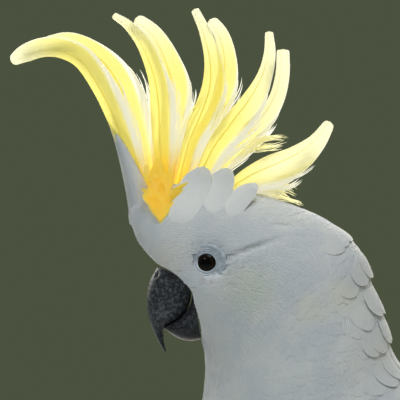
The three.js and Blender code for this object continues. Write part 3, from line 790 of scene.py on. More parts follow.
def crest_layer(sheets, across, along, tone, normal=SIDEWAYS):
    """A part of one crest feather, placed on that feather's map."""
    bake = [0.04 + 0.92 * np.clip(k, 0, 1) for k in (across * 0.7 + 0.1, along)]
    return layer(*sheets, (across, along), bake, tone, normal)


def crest_gold(place):
    """Golden round the root of the crest, lemon then cream to the tips and the rear feathers, and
    white at the rear edge, partly the feathers' own white and partly a painted highlight, streaked
    along its barbs; four plain translucent layers colour the light through it alike, and the web
    gives off a painted glow of its own colour."""
    across, along, tone = of_feather(place)
    lean = (abs(across - 0.33) - along * 0.9) * 60
    barbs = place.add("CombineXYZ", inputs={0: lean, 1: along * 3, 2: tone * 9})
    streaks = barbs.texture("Noise", 1.0, Detail=3.0)
    rear = (across + streaks * 0.16 - 0.08 - along.step(0.25, 0.7) * 0.25).step(0.62, 0.8)
    gold = spot(place, -24, 0, 30, 8, 40)
    gold = gold * gold * (1 - streaks.step(0.45, 0.65) * 0.4) * (1 - tone.step(0.5, 0.9) * 0.55)
    lemon = (1 - along.step(0.55, 1.0)) * (1 - place.xyz()[0].step(-0.13, -0.1) * 0.8)
    colour = lemon.tint(CREAM, LEMON)
    for share, paint in (
        (streaks.step(0.5, 0.75) * 0.4, STREAK), (rear * 0.9, WHITE_EDGE_AND_HIGHLIGHT), (gold, GOLD),
        (gold * (1 - tone.step(0.1, 0.45)) * 0.55, DARK_GOLD),
        ((1 - across.step(0.0, 0.12)) * 0.35, FRONT_EDGE),
    ):
        colour = share.tint(colour, paint)
    lit, *others = (place.translucent(paint) for paint in THROUGH)
    for share, glow in zip((lemon, rear, gold), others):
        lit = place.mixed(share, lit, glow)
    relief = streaks, 0.3, 0.0003
    # the face gives off its own colour as a painted glow, standing in for light that soaks sideways
    # through the web
    face = place.surface(colour, 0.6, relief, Emission_Color=colour, Emission_Strength=PAINTED_GLOW)
    return place.mixed(0.8, face, lit)


draw = np.random.default_rng(23)
sulphur = finish("crest_sulphur", crest_gold)
q = np.linspace(0, 1, 9)
for number, (key, (plane, square, rows)) in enumerate(CREST.items()):
    length, feather_at = run_of(rows), crest_vane(plane, square, rows)
    tip = 1 - CREST_TIP / length * np.cos(np.linspace(0.1, np.pi / 2, 9))
    w = np.concatenate([np.linspace(0, 1 - 5 / length, 50), tip])[:, None]
    c = np.sin(np.linspace(-1, 1, 13) * np.pi / 2)
    # low on the rear edge the web is frayed, so it stops short of the loose barbs there
    top = np.interp(length, [70, 130], [0.45, 0.28])
    c = np.where(c > 0, c * np.interp(w / top, [0, 0.25, 0.7, 1.1], [0.72, 0.76, 0.9, 1]), c)
    web = feather_at(w, c)[None]
    thin = np.array([0, 0.07, 0])
    cupped = unit(np.cross(np.gradient(web, axis=1), np.gradient(web, axis=2)))
    made = [crest_layer((web + thin, web - thin), (c + 1) / 2, w, 0.1 * number, cupped)]

    count = int(length * 0.55)
    start = np.linspace(0.0, top, count) + draw.normal(0, 0.004, count)
    run = 19 / length * draw.uniform(0.85, 1.15, count)
    w = start[:, None] + run[:, None] * q
    loose = draw.random(count) < np.interp(start / top, [0, 0.7, 1], [0.5, 0.45, 0.1])
    reach = np.where(loose, draw.uniform(1.05, 1.5, count), draw.uniform(0.9, 1.0, count))
    c = 0.45 + (reach - 0.45)[:, None] * (1 - (1 - q) ** 1.7)
    off = np.where(np.arange(count) % 2, 0.1, -0.1)[:, None]
    off = off + (loose * draw.normal(0, 1.2, count))[:, None] * q**2
    half = np.interp(q, [0, 0.15, 0.6, 0.9, 1], [0.25, 0.6, 0.75, 0.45, 0.06])
    half = half * np.where(loose, 0.4, 1.0)[:, None]
    barbs, across = strips(feather_at(w, c, off), half, 0.08), (c + 1)[..., None] / 2
    made.append(crest_layer(barbs, across, w[..., None], draw.random((count, 1, 1))))

    w = np.linspace(-0.03, 0.99, 48)[None]
    half = np.interp(w, [0, 0.5, 1], [0.6, 0.36, 0.1])
    shaft = strips(feather_at(w, SHAFT_AT), half, half * 1.3)
    made.append(crest_layer(shaft, 0.35, w[..., None], 0.8))
    feather = plumed(f"crest_feather_{key}", made, sulphur)
    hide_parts(f"crest_{key}")

# Loose barbs that curl back between the rear feathers and over the crown: where each tuft
# springs, where its tips reach, how many strands it has and how far they droop, in mm
WISPS = [
    ((13, 50), (31, 60), 12, 1.5), ((17, 54), (38, 63.5), 10, 2.5), ((19, 57), (37, 59), 8, -1.5),
    ((18, 33), (34, 31), 8, 1.5), ((23, 35.5), (41, 32.5), 10, 2), ((27, 37), (43, 36.5), 8, 1.5),
    ((18, 36), (38, 34), 12, 1), ((28, 33.5), (47, 29.5), 10, 0.8), ((-12, 60), (-1, 84), 6, 1.2),
    ((0, 58), (11, 84), 6, 1.5),
]
draw = np.random.default_rng(27)
made = []
for (x0, z0), (x1, z1), count, droop in WISPS:
    ends = np.array([[x0, z0], [x1, z1]]) + draw.normal(0, 1.3, (count, 2, 2)) * [1, 0.8]
    path = ends[:, :1] + (ends[:, 1:] - ends[:, :1]) * q[:, None]
    aside = np.array([z0 - z1, x1 - x0]) / math.hypot(x1 - x0, z1 - z0)
    bow = 4 * q * (1 - q) * droop - 1.6 * q**3 * draw.uniform(0, 1, (count, 1))
    path = path + aside * bow[..., None]
    y = draw.uniform(-4.5, 4.5, (count, 1)) + draw.normal(0, 1, (count, 1)) * q
    path = np.stack([path[..., 0], y, path[..., 1]], -1)
    half = np.interp(q, [0, 0.3, 0.8, 1], [0.18, 0.27, 0.2, 0.05]) * np.ones((count, 1))
    lie = 0.85, 0.4 + 0.3 * q[:, None]
    made.append(layer(*strips(path, half, 0.1), lie, lie, draw.random((count, 1, 1)), SIDEWAYS))
wisps = plumed("crest_wisps", made, sulphur)

# ---- golden down of the crest
# Short golden feathers that lie up the side of the forehead, between the white sheath in front
# and the first white lobe, and hide the roots of the crest.

# where each row of down stands, how far to each side, and its feathers; the first two rows are a
# broad underlayer
DOWN = np.array([
    (0.02, 0.5, 4), (0.1, 0.7, 6), (0.0, 0.6, 10), (0.1, 0.8, 14), (0.2, 0.9, 17), (0.3, 1, 15),
    (0.42, 1, 9), (0.55, 1, 5),
])


def curtain(side):
    """From the side of the forehead up to the crest: u from 0 at its foot to 1 at its top and v
    from -1 to 1 across it, 0.8 + 6 * u + 4 * u ** 2 to each side. It stands 5.5 + 14.8 *
    (1 - u) ** 1.1 from the middle."""

    def surface(u, v, height):
        reach = np.clip(0.8 + 6 * u + 4 * u**2, 0.4, 6.5)
        y = 5.5 + 14.8 * np.clip(1 - u, 0, 1) ** 1.1 + height
        x, z = -23.3 - 1.5 * u + v * reach, 21.5 + 34 * u
        return np.stack(np.broadcast_arrays(x, side * y, z), -1)

    return surface


draw = np.random.default_rng(29)
rows = DOWN[:, 2].astype(int)
for side, word in SIDES:
    u = np.repeat(DOWN[:, 0], rows)
    v = np.concatenate([np.linspace(-k, k, n) for k, n in zip(DOWN[:, 1], rows)])
    under = np.arange(len(u)) < rows[:2].sum()
    u, v = u + draw.normal(0, 0.03, len(u)) * ~under, v + draw.normal(0, 0.05, len(u)) * ~under
    length, half = np.where(under, 9, draw.uniform(7, 17, len(u))), np.where(under, 2.4, 0.9)
    turn, root = draw.normal(0, 0.14, len(u)) * ~under, np.where(under, -0.9, -0.3)
    points, faces, lie, *rest = lay(
        curtain(side), u, v, length, half, draw, form(9, 5, blunt=0.3, neck=0.6), turn, root,
        tip=np.where(under, -0.5, 0.3), camber=0.02, ragged=0.1, crisp=0.35)
    shade = np.random.default_rng(37).uniform(0, 0.25, len(u))
    lie = lie * [0.5, 0.15]
    lie[:, 0] += np.repeat(shade, len(lie) // len(u))
    down = plumed(f"golden_down_{word}", [(points, faces, lie, *rest)], sulphur)

# ---- coverts of the crest
# Smooth white feathers that sheathe the roots of the crest: a tall one up each side of the
# forehead, and three rounded lobes along each side of the crown.

# x, z, half width from the tip to the root, in mm from the eye
COLUMN = [
    [-49.5, 71, 0.8], [-44, 60, 2.6], [-39, 47, 4.4], [-35, 35, 6], [-32.2, 24, 7],
    [-29.3, 13, 7],
]
LOBES = {
    "crown_covert_3": (0.2, [
        [24.5, 39, 3.5], [21, 36, 5], [15.5, 31.5, 6], [10.5, 25, 6.5], [7, 18, 6],
    ]),
    "crown_covert_2": (0.7, [
        [10.5, 48.5, 5], [8.5, 43, 6.8], [5, 36.5, 7.4], [2, 28, 7.8], [0, 19, 7.5],
    ]),
    "crown_covert_1": (1.2, [
        [-1.5, 49, 5.5], [-3.5, 43, 7.4], [-7, 36.5, 8], [-10.5, 28, 8.4], [-13, 19, 8],
    ]),
}
# half width of the lobes' bed at every 6 mm of height from z = 16
HEAD_SIDE = [[24.8], [22.6], [18.6], [14.2], [10.6], [8.8], [8.2], [8]]


def column(u, v, height):
    """The sheath up the forehead, u from its foot to its top and v round it: an ellipse of the
    row's half width along the head and 11 to 2.2 mm across it."""
    rows = np.array(COLUMN)[::-1]
    x, z, half = np.moveaxis(through(rows, u), -1, 0)
    way = heading(rows, u + 0.05, u - 0.05)
    wide = np.interp(u, [0, 1, 2, 3, 4, 5], [11, 9.4, 8, 6.4, 4.6, 2.2])
    reach = (half + height) * np.cos(v)
    points = [x - way[..., 1] * reach, (wide + height) * np.sin(v), z + way[..., 0] * reach]
    return np.stack(np.broadcast_arrays(*points), -1)


def lobe(lift, rows, side):
    """A lobe's outer face: u runs from its root to its tip and v from -1 to 1 across it. It
    follows the side of the head up, lift mm off it, and bulges by 1.8 * (1 - v squared)."""
    rows = np.array(rows)[::-1]

    def surface(u, v, height):
        x, z, half = np.moveaxis(through(rows, u), -1, 0)
        way = heading(rows, u + 0.05, u - 0.05)
        x, z = x + way[..., 1] * half * v, z - way[..., 0] * half * v
        bed = through(HEAD_SIDE, np.clip((z - 16) / 6, -0.9, 7))[..., 0]
        y = bed + lift - 0.4 + 1.8 * (1 - np.clip(v, -1.4, 1.4) ** 2) + height
        return np.stack(np.broadcast_arrays(x, side * y, z), -1)

    return surface


draw = np.random.default_rng(31)
# the lobes' white is lifted all the way to the brighter white, as painted light
covert_white = finish("covert_plumage", plumage(9, 0.5, 0.3, 1.0))
u, v = roots(column, 0.0, 4.55, table((0, 2.4), (5, 2.2)), table((0, 2.0), (5, 1.4)), draw)
sheath = lay(column, u, v, np.interp(u, [0, 4.5], [9, 12]), 1.9, draw, form(6, 7), root=-0.5,
             tip=0.15, camber=0.03, crisp=0.1)
coat("forehead_feathers", [sheath], face_white, "forehead_covert_left", "forehead_covert_right")
# where the three feathers of a lobe root, then their lengths and half widths as shares of it
u, v, root = np.array([[0.0, 0.1, 0.2], [-0.35, 0.35, 0.0], [-4.2, -4.0, -3.8]])
long_share, wide_share = np.array([[1.0, 1.03, 1.13], [0.66, 0.66, 0.95]])
for name, (lift, rows) in LOBES.items():
    length, half = run_of(rows) * long_share, rows[1][2] * wide_share
    for side, word in SIDES:
        petals = lay(lobe(lift, rows, side), u, v, length, half, draw,
                     form(13, 13, blunt=0.55, neck=0.95), root=root, tip=0.2, camber=0.03,
                     ragged=0.02, unwrap=(-0.2, len(rows) - 1, -1, 1))
        coat(f"{name}_feathers_{word}", [petals], covert_white, f"{name}_{word}")

# ---- folded wings
# White wings held against the flanks: three tiers of rounded coverts over the arm, then the
# long tertials, secondaries and primaries, whose stiff shafts run on under the tail's base.

# degrees round the body where a quill leaves the coverts and where it leaves the body, its tip
# and its half width, from the longest primary up to the shortest tertial
QUILLS = [
    (112, 92, (322, 14, -206), 10), (105, 85, (310, 15.5, -198.5), 10),
    (98, 78, (297, 17, -190.5), 10), (90, 70, (282, 18.5, -182), 10.5),
    (81, 62, (266, 20, -173), 11), (71, 53, (253, 19, -165), 11.5),
    (60, 43, (242, 16.5, -157), 12), (48, 33, (232, 12.5, -149.5), 12),
]
ACROSS = np.array([-1, -0.8, -0.6, -0.4, -0.2, -0.05, 0, 0.05, 0.2, 0.4, 0.6, 0.8, 1])


def blade(shaft, half, roll, side, draw, camber=0.8, thick=0.5, rachis=0.35):
    """A stiff vane along a shaft, (n, 3). It lies across by half * c, rolled from standing on
    edge at 0 to flat at 90 degrees, bowed by camber * c ** 2, with a ridge for the rachis."""
    way = unit(np.gradient(shaft, axis=0))
    out = unit(np.array([0, side, 0]) - way * (way[:, 1] * side)[:, None])
    turn = np.radians(roll)[:, None]
    across = np.cross(way, out) * np.cos(turn) - side * out * np.sin(turn)
    face = np.cross(way, across)
    face *= np.sign(dot(face, out + [0, 0, 0.6]))[:, None]
    c, half = ACROSS, half[:, None]
    edge = 1 + draw.normal(0, 0.012, (len(shaft), len(c))) * np.abs(c) ** 6
    flat = shaft[:, None] + across[:, None] * (half * c * edge)[..., None]
    height = rachis * np.exp(-((c * half / 0.7) ** 2)) - camber * c**2
    rounded = thick / 2 * (1 - c**2)
    upper = flat + face[:, None] * (height + rounded)[..., None]
    under = flat + face[:, None] * (height - rounded - rachis)[..., None]
    if dot(np.cross(way, across), face).mean() < 0:
        upper, under = upper[:, ::-1], under[:, ::-1]
    return upper[None], under[None]


def quill_layers(blades, draw):
    """Blades with their own strips of the bake's map."""
    layers, across = [], (ACROSS + 1) / 2
    for number, (upper, under) in enumerate(blades):
        along = np.linspace(0, 1, upper.shape[1])[:, None]
        bake = (number + 0.06 + 0.88 * across) / len(blades), 0.02 + 0.96 * along
        layers.append(layer(upper, under, (across, along), bake, draw.random()))
    return layers


quill_white = finish("quill_plumage", plumage(60, 1.6, 0.25))
row_step, root_step = table((0, 5), (3, 7), (5.3, 10)), table((0, 4.5), (5, 9))
covert_length = table((0, 10), (2, 15), (3.4, 20), (4.7, 26))
t = np.linspace(0, 1.97, 34)
for side, word in SIDES:
    draw = np.random.default_rng(41)
    u, v = roots(on_wing(side), 0.35, 4.7, row_step, root_step, draw, (0.06, 0.94))
    length = covert_length(u) * draw.uniform(0.94, 1.06, len(u))
    coverts = lay(on_wing(side), u, v, length, length * 0.32, draw, form(8, 9, blunt=0.5),
                  -side * 0.12 * (v - 0.4), root=-1.2, tip=1.0, camber=0.1, ragged=0.05)
    coat(f"wing_coverts_{word}", [coverts], body_white)
    blades = []
    for rank, (low, high, tip, wide) in enumerate(QUILLS):
        half = wide * np.interp(t, [0, 0.6, 1.1, 1.5, 1.85, 1.97], [0.7, 0.9, 1, 0.95, 0.66, 0.3])
        for extra in (0, 0.5):
            low_at, high_at = np.radians(low - 3.5 * extra), np.radians(high - 4 * extra)
            rise = 0.35 * rank + 0.3 * extra
            start = ring(BODY, 17.4, low_at, 2 + rise)
            middle = ring(BODY, 20.4 - 0.2 * rank, high_at, 4.5 + rise)
            end = np.array(tip) + extra * np.array([-9, 1.2, 5])
            path = [[*start, 90 - low], [*middle, 90 - high], [*end, 52]]
            x, y, z, roll = through(path, t).T
            blades.append(blade(np.stack([x, side * y, z], -1), half, roll, side, draw))
    coat(f"wing_quills_{word}", quill_layers(blades, draw), quill_white, f"wing_{word}")

# ---- tail
# Twelve square-ended white feathers, each pair lying under the pair inside it, with soft
# coverts over and under their roots.

TAIL_ROOT_X, TAIL_ROOT_Z, TAIL_LENGTH, TAIL_SHORTER = 205.0, -141.0, 200, 1.6
TAIL_SLOPE, TAIL_FAN, TAIL_TILT, TAIL_STEP = math.radians(34), 0.9, 1.4, 1.15

draw = np.random.default_rng(53)
blades = []
share = np.linspace(0.12, 1, 40)
wide = np.interp(share, [0.12, 0.6, 0.93, 0.985, 1], [9, 14.5, 15.5, 12, 7])
for pair in range(6):
    for side in (LEFT, RIGHT):
        turn = math.radians(TAIL_FAN * (pair + 0.5))
        drop = TAIL_STEP * (pair + (0.5 if side > 0 else 0))
        run = share * (TAIL_LENGTH - TAIL_SHORTER * pair)
        out, sag = run * math.cos(turn), drop + 5 * share**2
        x = TAIL_ROOT_X + out * math.cos(TAIL_SLOPE) - drop * math.sin(TAIL_SLOPE)
        z = TAIL_ROOT_Z - out * math.sin(TAIL_SLOPE) - sag * math.cos(TAIL_SLOPE)
        shaft = np.stack([x, side * (2 + run * math.sin(turn)), z], -1)
        roll = np.full(len(share), 90 - TAIL_TILT * (pair + 0.5))
        blades.append(blade(shaft, wide, roll, side, draw, camber=1.2))
coat("tail_feathers", quill_layers(blades, draw), quill_white, "tail")

# ---- shanks
# Loose white feather trousers that hide the leg down to the ankle.

draw = np.random.default_rng(61)
for side, word in SIDES:
    trouser = lambda u, v, height: ring(SHANK, u, v, height) + [0, side * FOOT_Y, 0]
    u, v = roots(trouser, 0.0, 3.75, table((0, 6), (4, 3.5)), table((0, 5), (4, 2.6)), draw)
    length = table((0, 18), (3, 13), (4, 8))(u) * draw.uniform(0.9, 1.1, len(u))
    loose = lay(trouser, u, v, length, length * 0.28, draw, form(6, 7), root=-1.3, ragged=0.08)
    coat(f"trouser_feathers_{word}", [loose], body_white)

# ---- eyes
# Dark glossy balls with a brown-black iris, each set in a ring of bare white skin that is
# thick at the lid's rim and wrinkled in rounds outside it.

BALL_R, BALL_Y, EYE_TURN, LID_R = 6.4, 21.0, 0.2, 4.7


# radius and height above the ball's middle round the closed profile of the lid
LID = [
    [4.62, 4.1], [4.62, 4.6], [4.8, 5.05], [5.2, 5.2], [5.55, 5.02], [5.8, 4.9], [6.1, 5.2],
    [6.45, 5.22], [6.75, 5.0], [7.05, 5.25], [7.4, 5.3], [7.7, 5.12], [8.1, 5.35], [8.8, 5.5],
    [9.8, 5.2], [9.8, 3.6], [7, 3.4], [5.4, 3.5],
]
LID_TOP = 4.4  # the height over which the profile is its outer face


def on_eye(points, side):
    """Points built round +y turned to look out and a little forward, onto one eye."""
    x, y, z = np.moveaxis(points, -1, 0)
    sin, cos = math.sin(EYE_TURN), math.cos(EYE_TURN)
    return np.stack([x * cos - y * sin, side * (x * sin + y * cos + BALL_Y), z], -1)


def globe(rings, around, pole):
    """A ball of radius 1 about z."""
    polar, angle = np.linspace(pole, np.pi - pole, rings)[:, None], turns(around)
    along = np.cos(polar) + 0 * angle
    return np.stack([np.sin(polar) * np.cos(angle), np.sin(polar) * np.sin(angle), along], -1)


def iris(place):
    """Black pupil, dark brown iris mottled with fine noise, black rim: rings about the eye's axis.
    """
    axis = np.array([-math.sin(EYE_TURN), math.cos(EYE_TURN), 0])
    far = mirrored(place).distance(np.array([0, BALL_Y, 0]) + axis * BALL_R)
    brown = place.texture("Noise", 1400.0).tint((0.008, 0.005, 0.003), (0.016, 0.009, 0.006))
    colour = far.step(0.0026, 0.0029).tint((0.002, 0.002, 0.002), brown)
    colour = far.step(0.0042, 0.0048).tint(colour, (0.004, 0.003, 0.003))
    return place.surface(colour, 0.05, Specular_IOR_Level=0.14)


def bare_ring(place):
    """White, faintly blue skin with pink in its folds and fine pores."""
    grain = place.texture("Noise", 500.0, Detail=4.0)
    colour = grain.step(0.4, 0.7).tint((0.4, 0.44, 0.48), (0.56, 0.58, 0.62))
    pores = place.texture("Voronoi", 1600.0)
    return place.surface(marked(place, colour, UNDER_EYE), 0.5, (pores, 0.25, 0.0002))


iris_black, lid_white = finish("iris", iris), finish("eye_ring_skin", bare_ring)
for side, word in SIDES:
    ball = globe(40, 64, 0.02)[..., [0, 2, 1]] * BALL_R
    eyeball = piece(f"eyeball_{word}", *closed_rings(on_eye(ball, side)), iris_black)
    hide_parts(f"eye_{word}")

    draw = np.random.default_rng(71)
    angle = turns(120)[:, None]
    radius, height = through(LID + LID[:1], np.linspace(0, len(LID), 91)[:-1]).T
    wander = sum(
        draw.uniform(0.02, 0.05) * np.sin(angle * k + draw.uniform(0, 6) + radius * 0.4)
        for k in (2, 3, 5, 9, 14)
    )
    wander = wander * np.clip((radius - 4.9) / 2, 0, 1)
    radius = radius * (1 + 0.035 * np.cos(2 * angle)) + wander * 1.2
    height = height + wander * 1.6
    lid = np.stack([radius * np.cos(angle), height, radius * np.sin(angle)], -1)
    numbers = np.arange(lid[..., 0].size).reshape(lid.shape[:2])
    faces = sheet(np.pad(numbers, ((0, 1), (0, 1)), "wrap"))
    points = on_eye(lid, side).reshape(-1, 3)
    a, b, c = (points[faces[:, k]] for k in range(3))
    facing = dot(np.cross(b - a, c - a), [-math.sin(EYE_TURN), side * math.cos(EYE_TURN), 0])
    if (facing * (lid.reshape(-1, 3)[faces[:, 0], 1] > LID_TOP)).sum() < 0:
        faces = faces[:, ::-1]
    eye_ring = piece(f"eye_lids_{word}", points, [faces], lid_white)
    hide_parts(f"eye_ring_{word}")

# ---- bill
# Dark slate horn: a strongly hooked upper half over a shorter scoop-shaped lower half, with
# growth ridges, a pale powdery bloom on its sides and a black, polished point.

UPPER_BILL = [
    [-25.5, -2.6, -8.4, -14.6, 10, 0.5], [-28.7, -9, -8.8, -19, 10.2, 0.48],
    [-30.2, -16, -10.8, -23.6, 9.8, 0.46], [-30.2, -23, -14.4, -27.6, 8.6, 0.44],
    [-29.2, -29, -18.4, -30.4, 6.6, 0.44], [-27.3, -34.2, -21.8, -33, 4.4, 0.46],
    [-24.8, -39.6, -22.3, -38.4, 2.4, 0.5], [-21.4, -45.2, -20.9, -44.6, 0.7, 0.5],
]
LOWER_BILL = [
    [-7.4, -15.6, -3.4, -38.6, 9.2, 0.5], [-9.2, -21.8, -9, -39.4, 9.2, 0.5],
    [-14, -27.6, -14.4, -38.2, 8.4, 0.5], [-18, -30.2, -18.8, -35.6, 6.8, 0.52],
    [-20.8, -31.6, -21.8, -33, 4.6, 0.55],
]
TIP_Z = -46.0
ROOT_SWELL, SWELL_WAY = 2.3, [0.574, 0, 0.819]  # how far the root swells back to the face
NOSTRIL, NOSTRIL_R, NOSTRIL_DEPTH = (-25.4, 5.2, -6.2), 1.9, 0.9
POWDER, LOWER_EDGE = (0.2, 0.21, 0.235), (0.14, 0.07, 0.04)


def horn(dark, bloom):
    """Slate horn: growth lines, a bloom of pale powder in blotches, brown at the lower edge."""

    def build(place):
        low = in_frame(np.array([0, 0, TIP_Z]))[2]
        x, _, height = place.xyz()
        powder = place.texture("Noise", 520.0, Detail=6.0, Roughness=0.8)
        fine = place.texture("Noise", 1500.0, Detail=3.0)
        waves = {"Vector": place, "Scale": 260.0, "Distortion": 3.0, "Detail": 3.0}
        waves["Detail Scale"] = 2.0
        lines = place.add("TexWave", {"bands_direction": "Z"}, waves)
        polished = 1 - height.step(low + 0.008, low + 0.019)
        dust = powder.step(0.46, 0.62) * 0.85 + fine * 0.15
        dust = dust * (1 - polished * 0.85) * bloom
        brown = (1 - height.step(low + 0.0065, low + 0.0095)) * x.step(-0.156, -0.148) * 0.55
        colour = brown.tint(dust.tint(dark, POWDER), LOWER_EDGE)
        relief = powder * 0.85 + lines * 0.15, 0.35, 0.0004
        gloss = dust * 0.3 + 0.42 - polished * 0.2
        return place.surface(colour, gloss, relief, Specular_IOR_Level=0.35)

    return build


def bill_half(rows, swell, grooves):
    """A bill's half: rings from root to point, finely ridged by a sine along its length."""
    t, angle = np.linspace(0, len(rows) - 1.0, 110)[:, None], turns(72, -np.pi)
    ridge = 0.03 * np.sin(t * 19 + np.cos(angle) * 2) * grooves
    return t, angle, ring(rows, t, angle, ridge + swell * np.sin(np.pi * t / (len(rows) - 1)))


t, angle, upper = bill_half(UPPER_BILL, 0.25, 1)
swell = np.sin(angle) ** 2 * np.exp(-((t / 0.45) ** 2))
upper = upper + ROOT_SWELL * swell[..., None] * SWELL_WAY
x, y, z = np.moveaxis(upper, -1, 0)
from_nostril = np.hypot(x - NOSTRIL[0], z - NOSTRIL[2]) + np.abs(np.abs(y) - NOSTRIL[1])
pit = NOSTRIL_DEPTH * np.exp(-((from_nostril / NOSTRIL_R) ** 2))[..., None]
upper = upper - pit * unit(upper - upper.mean(1, keepdims=True))
_, _, lower = bill_half(LOWER_BILL, 0.1, 0.7)
horn_slate = finish("bill_slate", horn((0.014, 0.015, 0.018), 0.7))
upper_bill = piece("bill_upper", *closed_rings(upper), horn_slate)
horn_black = finish("bill_lower_slate", horn((0.009, 0.009, 0.011), 0.45))
lower_bill = piece("bill_lower", *closed_rings(lower), horn_black)
for obj, node in ((upper_bill, "upper_bill"), (lower_bill, "lower_bill")):
    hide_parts(node)

# ---- feet
# Grey scaly feet, two toes forward and two back, on thick soft pads, with black hooked claws.

FOOT_X, ANKLE_Z, FLOOR_Z = -41.3 - EYE_X, 37.0 - EYE_HEIGHT, -EYE_HEIGHT
# degrees from straight ahead, outwards, and length of each toe
TOES = {
    "inner_front": (-28, 27), "outer_front": (14, 38), "outer_back": (142, 34),
    "inner_back": (-148, 19),
}
# share of a toe's length, height above the floor and radius; the same for a claw, in mm past it
TOE_FORM = [
    [0.05, 5.4, 5.4], [0.24, 4.5, 4.5], [0.42, 3.8, 4.6], [0.6, 4, 3.8], [0.78, 3.5, 4.3],
    [0.92, 3.9, 3.6], [1, 4.2, 2.7],
]
CLAW_FORM = [[-1.5, 4.1, 2.3], [0.8, 4.4, 2.5], [5, 5.4, 2.1], [9.5, 4.3, 1.4], [12.5, 1.6, 0.4]]
PAD_R, PAD_FLAT, PAD_Z = 8.2, 0.8, 6.3
FOOT_VOXEL = 0.0007


def limb(rows, rings, around, ridges=0.0, waves=1.0):
    """A round limb along rows of x, y, z and radius, its upper side ringed with scutes: the
    radius swells by ridges * |sin| along the way."""
    t = np.linspace(0, len(rows) - 1, rings)
    path = through(rows, t)
    way = unit(np.gradient(path[:, :3], axis=0))
    side = unit(np.cross(way, [0, 0, 1]))
    top = np.cross(side, way)
    cos, sin = np.cos(turns(around)), np.sin(turns(around))
    scutes = ridges * np.abs(np.sin(t[:, None] * waves)) * np.clip(sin + 0.3, 0, 1)
    outward = side[:, None] * cos[:, None] + top[:, None] * sin[:, None]
    return closed_rings(path[:, None, :3] + (path[:, 3:] + scutes)[..., None] * outward)


def scaly(place):
    """Grey scales with paler seams between them and dust in the creases."""
    edges = {"feature": "DISTANCE_TO_EDGE"}
    plates = place.add("TexVoronoi", edges, {"Vector": place, "Scale": 620.0}).step(0.0, 0.16)
    grain = place.texture("Noise", 300.0, Detail=4.0).tint((0.09, 0.09, 0.1), (0.16, 0.16, 0.17))
    return place.surface(plates.tint((0.26, 0.25, 0.25), grain), 0.6, (plates, 0.6, 0.0005))


def nail(place):
    """Black horn, streaked grey along its length and polished by wear."""
    streaks = place.texture("Noise", 350.0, Detail=4.0)
    colour = streaks.step(0.45, 0.75).tint((0.012, 0.012, 0.013), (0.06, 0.06, 0.065))
    return place.surface(colour, 0.3, (streaks, 0.2, 0.0003))


def toe_line(form, side, turn, length, reach):
    """Rows of x, y, z and radius at length + share * reach from the foot's middle."""
    far = [length + share * reach for share, _, _ in form]
    turn, far = math.radians(turn), np.array(far)
    _, z, radius = np.array(form).T
    x, y = FOOT_X - far * math.cos(turn), side * (FOOT_Y + far * math.sin(turn))
    return np.stack([x, y, FLOOR_Z + z, radius], -1)


scales, claw_black = finish("scaly_grey", scaly), finish("claw_black", nail)
for side, word in SIDES:
    foot_y = side * FOOT_Y
    tarsus = [
        [FOOT_X + 14, foot_y, ANKLE_Z + 3, 4.6], [FOOT_X + 8.5, foot_y, FLOOR_Z + 24, 4.1],
        [FOOT_X + 2, foot_y, FLOOR_Z + 8, 5],
    ]
    pad = globe(20, 32, 0.05) * [1, 1, PAD_FLAT] * PAD_R + [FOOT_X, foot_y, FLOOR_Z + PAD_Z]
    parts = [limb(tarsus, 60, 24, 0.5, 14), closed_rings(pad)]
    for toe, (turn, reach) in TOES.items():
        parts.append(limb(toe_line(TOE_FORM, side, turn, 0, reach), 70, 24, 0.45, 7))
        horn_line = limb(toe_line(CLAW_FORM, side, turn, reach, 1), 40, 24)
        claw = piece(f"nail_{toe}_{word}", *horn_line, claw_black)
        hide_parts(f"claw_{toe}_{word}")
    foot = fused(piece(f"scaly_foot_{word}", *joined(parts), scales), FOOT_VOXEL)
    corners = np.zeros(len(foot.data.vertices) * 3, np.float32)
    foot.data.vertices.foreach_get("co", corners)
    corners[2::3] = np.maximum(corners[2::3], 0)  # nothing goes below the floor
    foot.data.vertices.foreach_set("co", corners)
    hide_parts(f"foot_{word}")

# ---- studio
# A plain pale floor, a muted green backdrop, a large soft lamp high behind the bird that glows
# through its crest, and broad soft fills in front and above.
FLOOR_R, FLOOR_THICK, FLOOR_GAP = 1300, 20, 0.05
AIM = (-0.12, 0, 0.3)  # where every lamp points


def pale_floor(place):
    mottle = place.texture("Noise", 6.0, Detail=5.0)
    return place.surface(mottle.tint((0.5, 0.51, 0.5), (0.56, 0.57, 0.56)), 0.8)


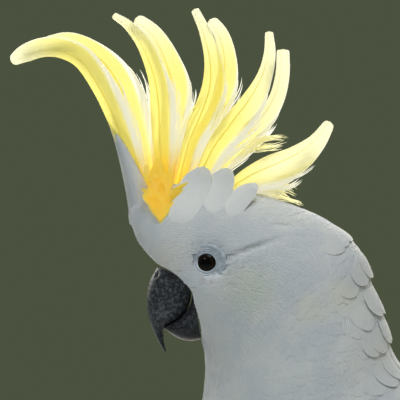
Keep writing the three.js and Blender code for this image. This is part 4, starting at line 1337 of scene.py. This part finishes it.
angle = turns(128)
disc = np.stack([FLOOR_R * np.cos(angle), FLOOR_R * np.sin(angle), 0 * angle], -1)
middle, under = [0.001, 0.001, 1], disc - [0, 0, FLOOR_THICK]
slab = np.stack([under * middle, under, disc, disc * middle]) - [EYE_X, 0, EYE_HEIGHT + FLOOR_GAP]
floor = piece("floor", *closed_rings(slab), finish("floor_pale", pale_floor))

world = bpy.data.worlds.new("studio")
world.use_nodes = True
bpy.context.scene.world = world
background = world.node_tree.nodes["Background"].inputs
background["Color"].default_value = (0.07, 0.085, 0.05, 1)
background["Strength"].default_value = 1.0


def lamp(name, place, size, power, colour, glossy=True):
    """A round soft lamp; only a glossy one is mirrored in the eyes."""
    light = bpy.data.lights.new(name, "AREA")
    light.shape, light.size, light.energy, light.color = "DISK", size, power, colour
    obj = bpy.data.objects.new(name, light)
    bpy.context.scene.collection.objects.link(obj)
    x, y, z = np.array(place) - AIM
    obj.location = place
    obj.rotation_euler = (math.atan2(math.hypot(x, y), z), 0, math.atan2(x, -y))
    obj.visible_camera, obj.visible_glossy = False, glossy


lamp("glow_behind", (0.6, 2.1, 1.5), 1.1, 56, (1.0, 0.96, 0.9))
lamp("rim_behind", (-1.5, 1.5, 0.9), 0.5, 13, (1.0, 0.97, 0.92))
lamp("fill_front", (-1.0, -2.2, 1.4), 2.2, 21, (0.74, 0.86, 1.0), glossy=False)
lamp("rim_right", (1.7, 0.35, 0.8), 0.6, 4, (1.0, 0.97, 0.92), glossy=False)
lamp("fill_top", (0.35, -0.5, 2.2), 1.4, 23, (0.9, 0.95, 1.0))
lamp("glint", (-1.35, -1.8, 1.85), 0.3, 6, (1.0, 1.0, 1.0))

# ---- camera
# A long lens, level with the bird's cheek and square to its left side.

FRAME_WIDTH, LENS, SENSOR = 0.2, 300.0, 36.0
CENTRE_X, CENTRE_Z = -0.1403, 0.305
camera = bpy.data.objects.new("camera", bpy.data.cameras.new("camera"))
bpy.context.scene.collection.objects.link(camera)
camera.data.lens, camera.data.sensor_width = LENS, SENSOR
camera.location = (CENTRE_X, -FRAME_WIDTH * LENS / SENSOR, CENTRE_Z)
camera.rotation_euler = (math.pi / 2, 0, 0)
bpy.context.scene.camera = camera
bpy.context.scene.view_settings.view_transform = "Standard"
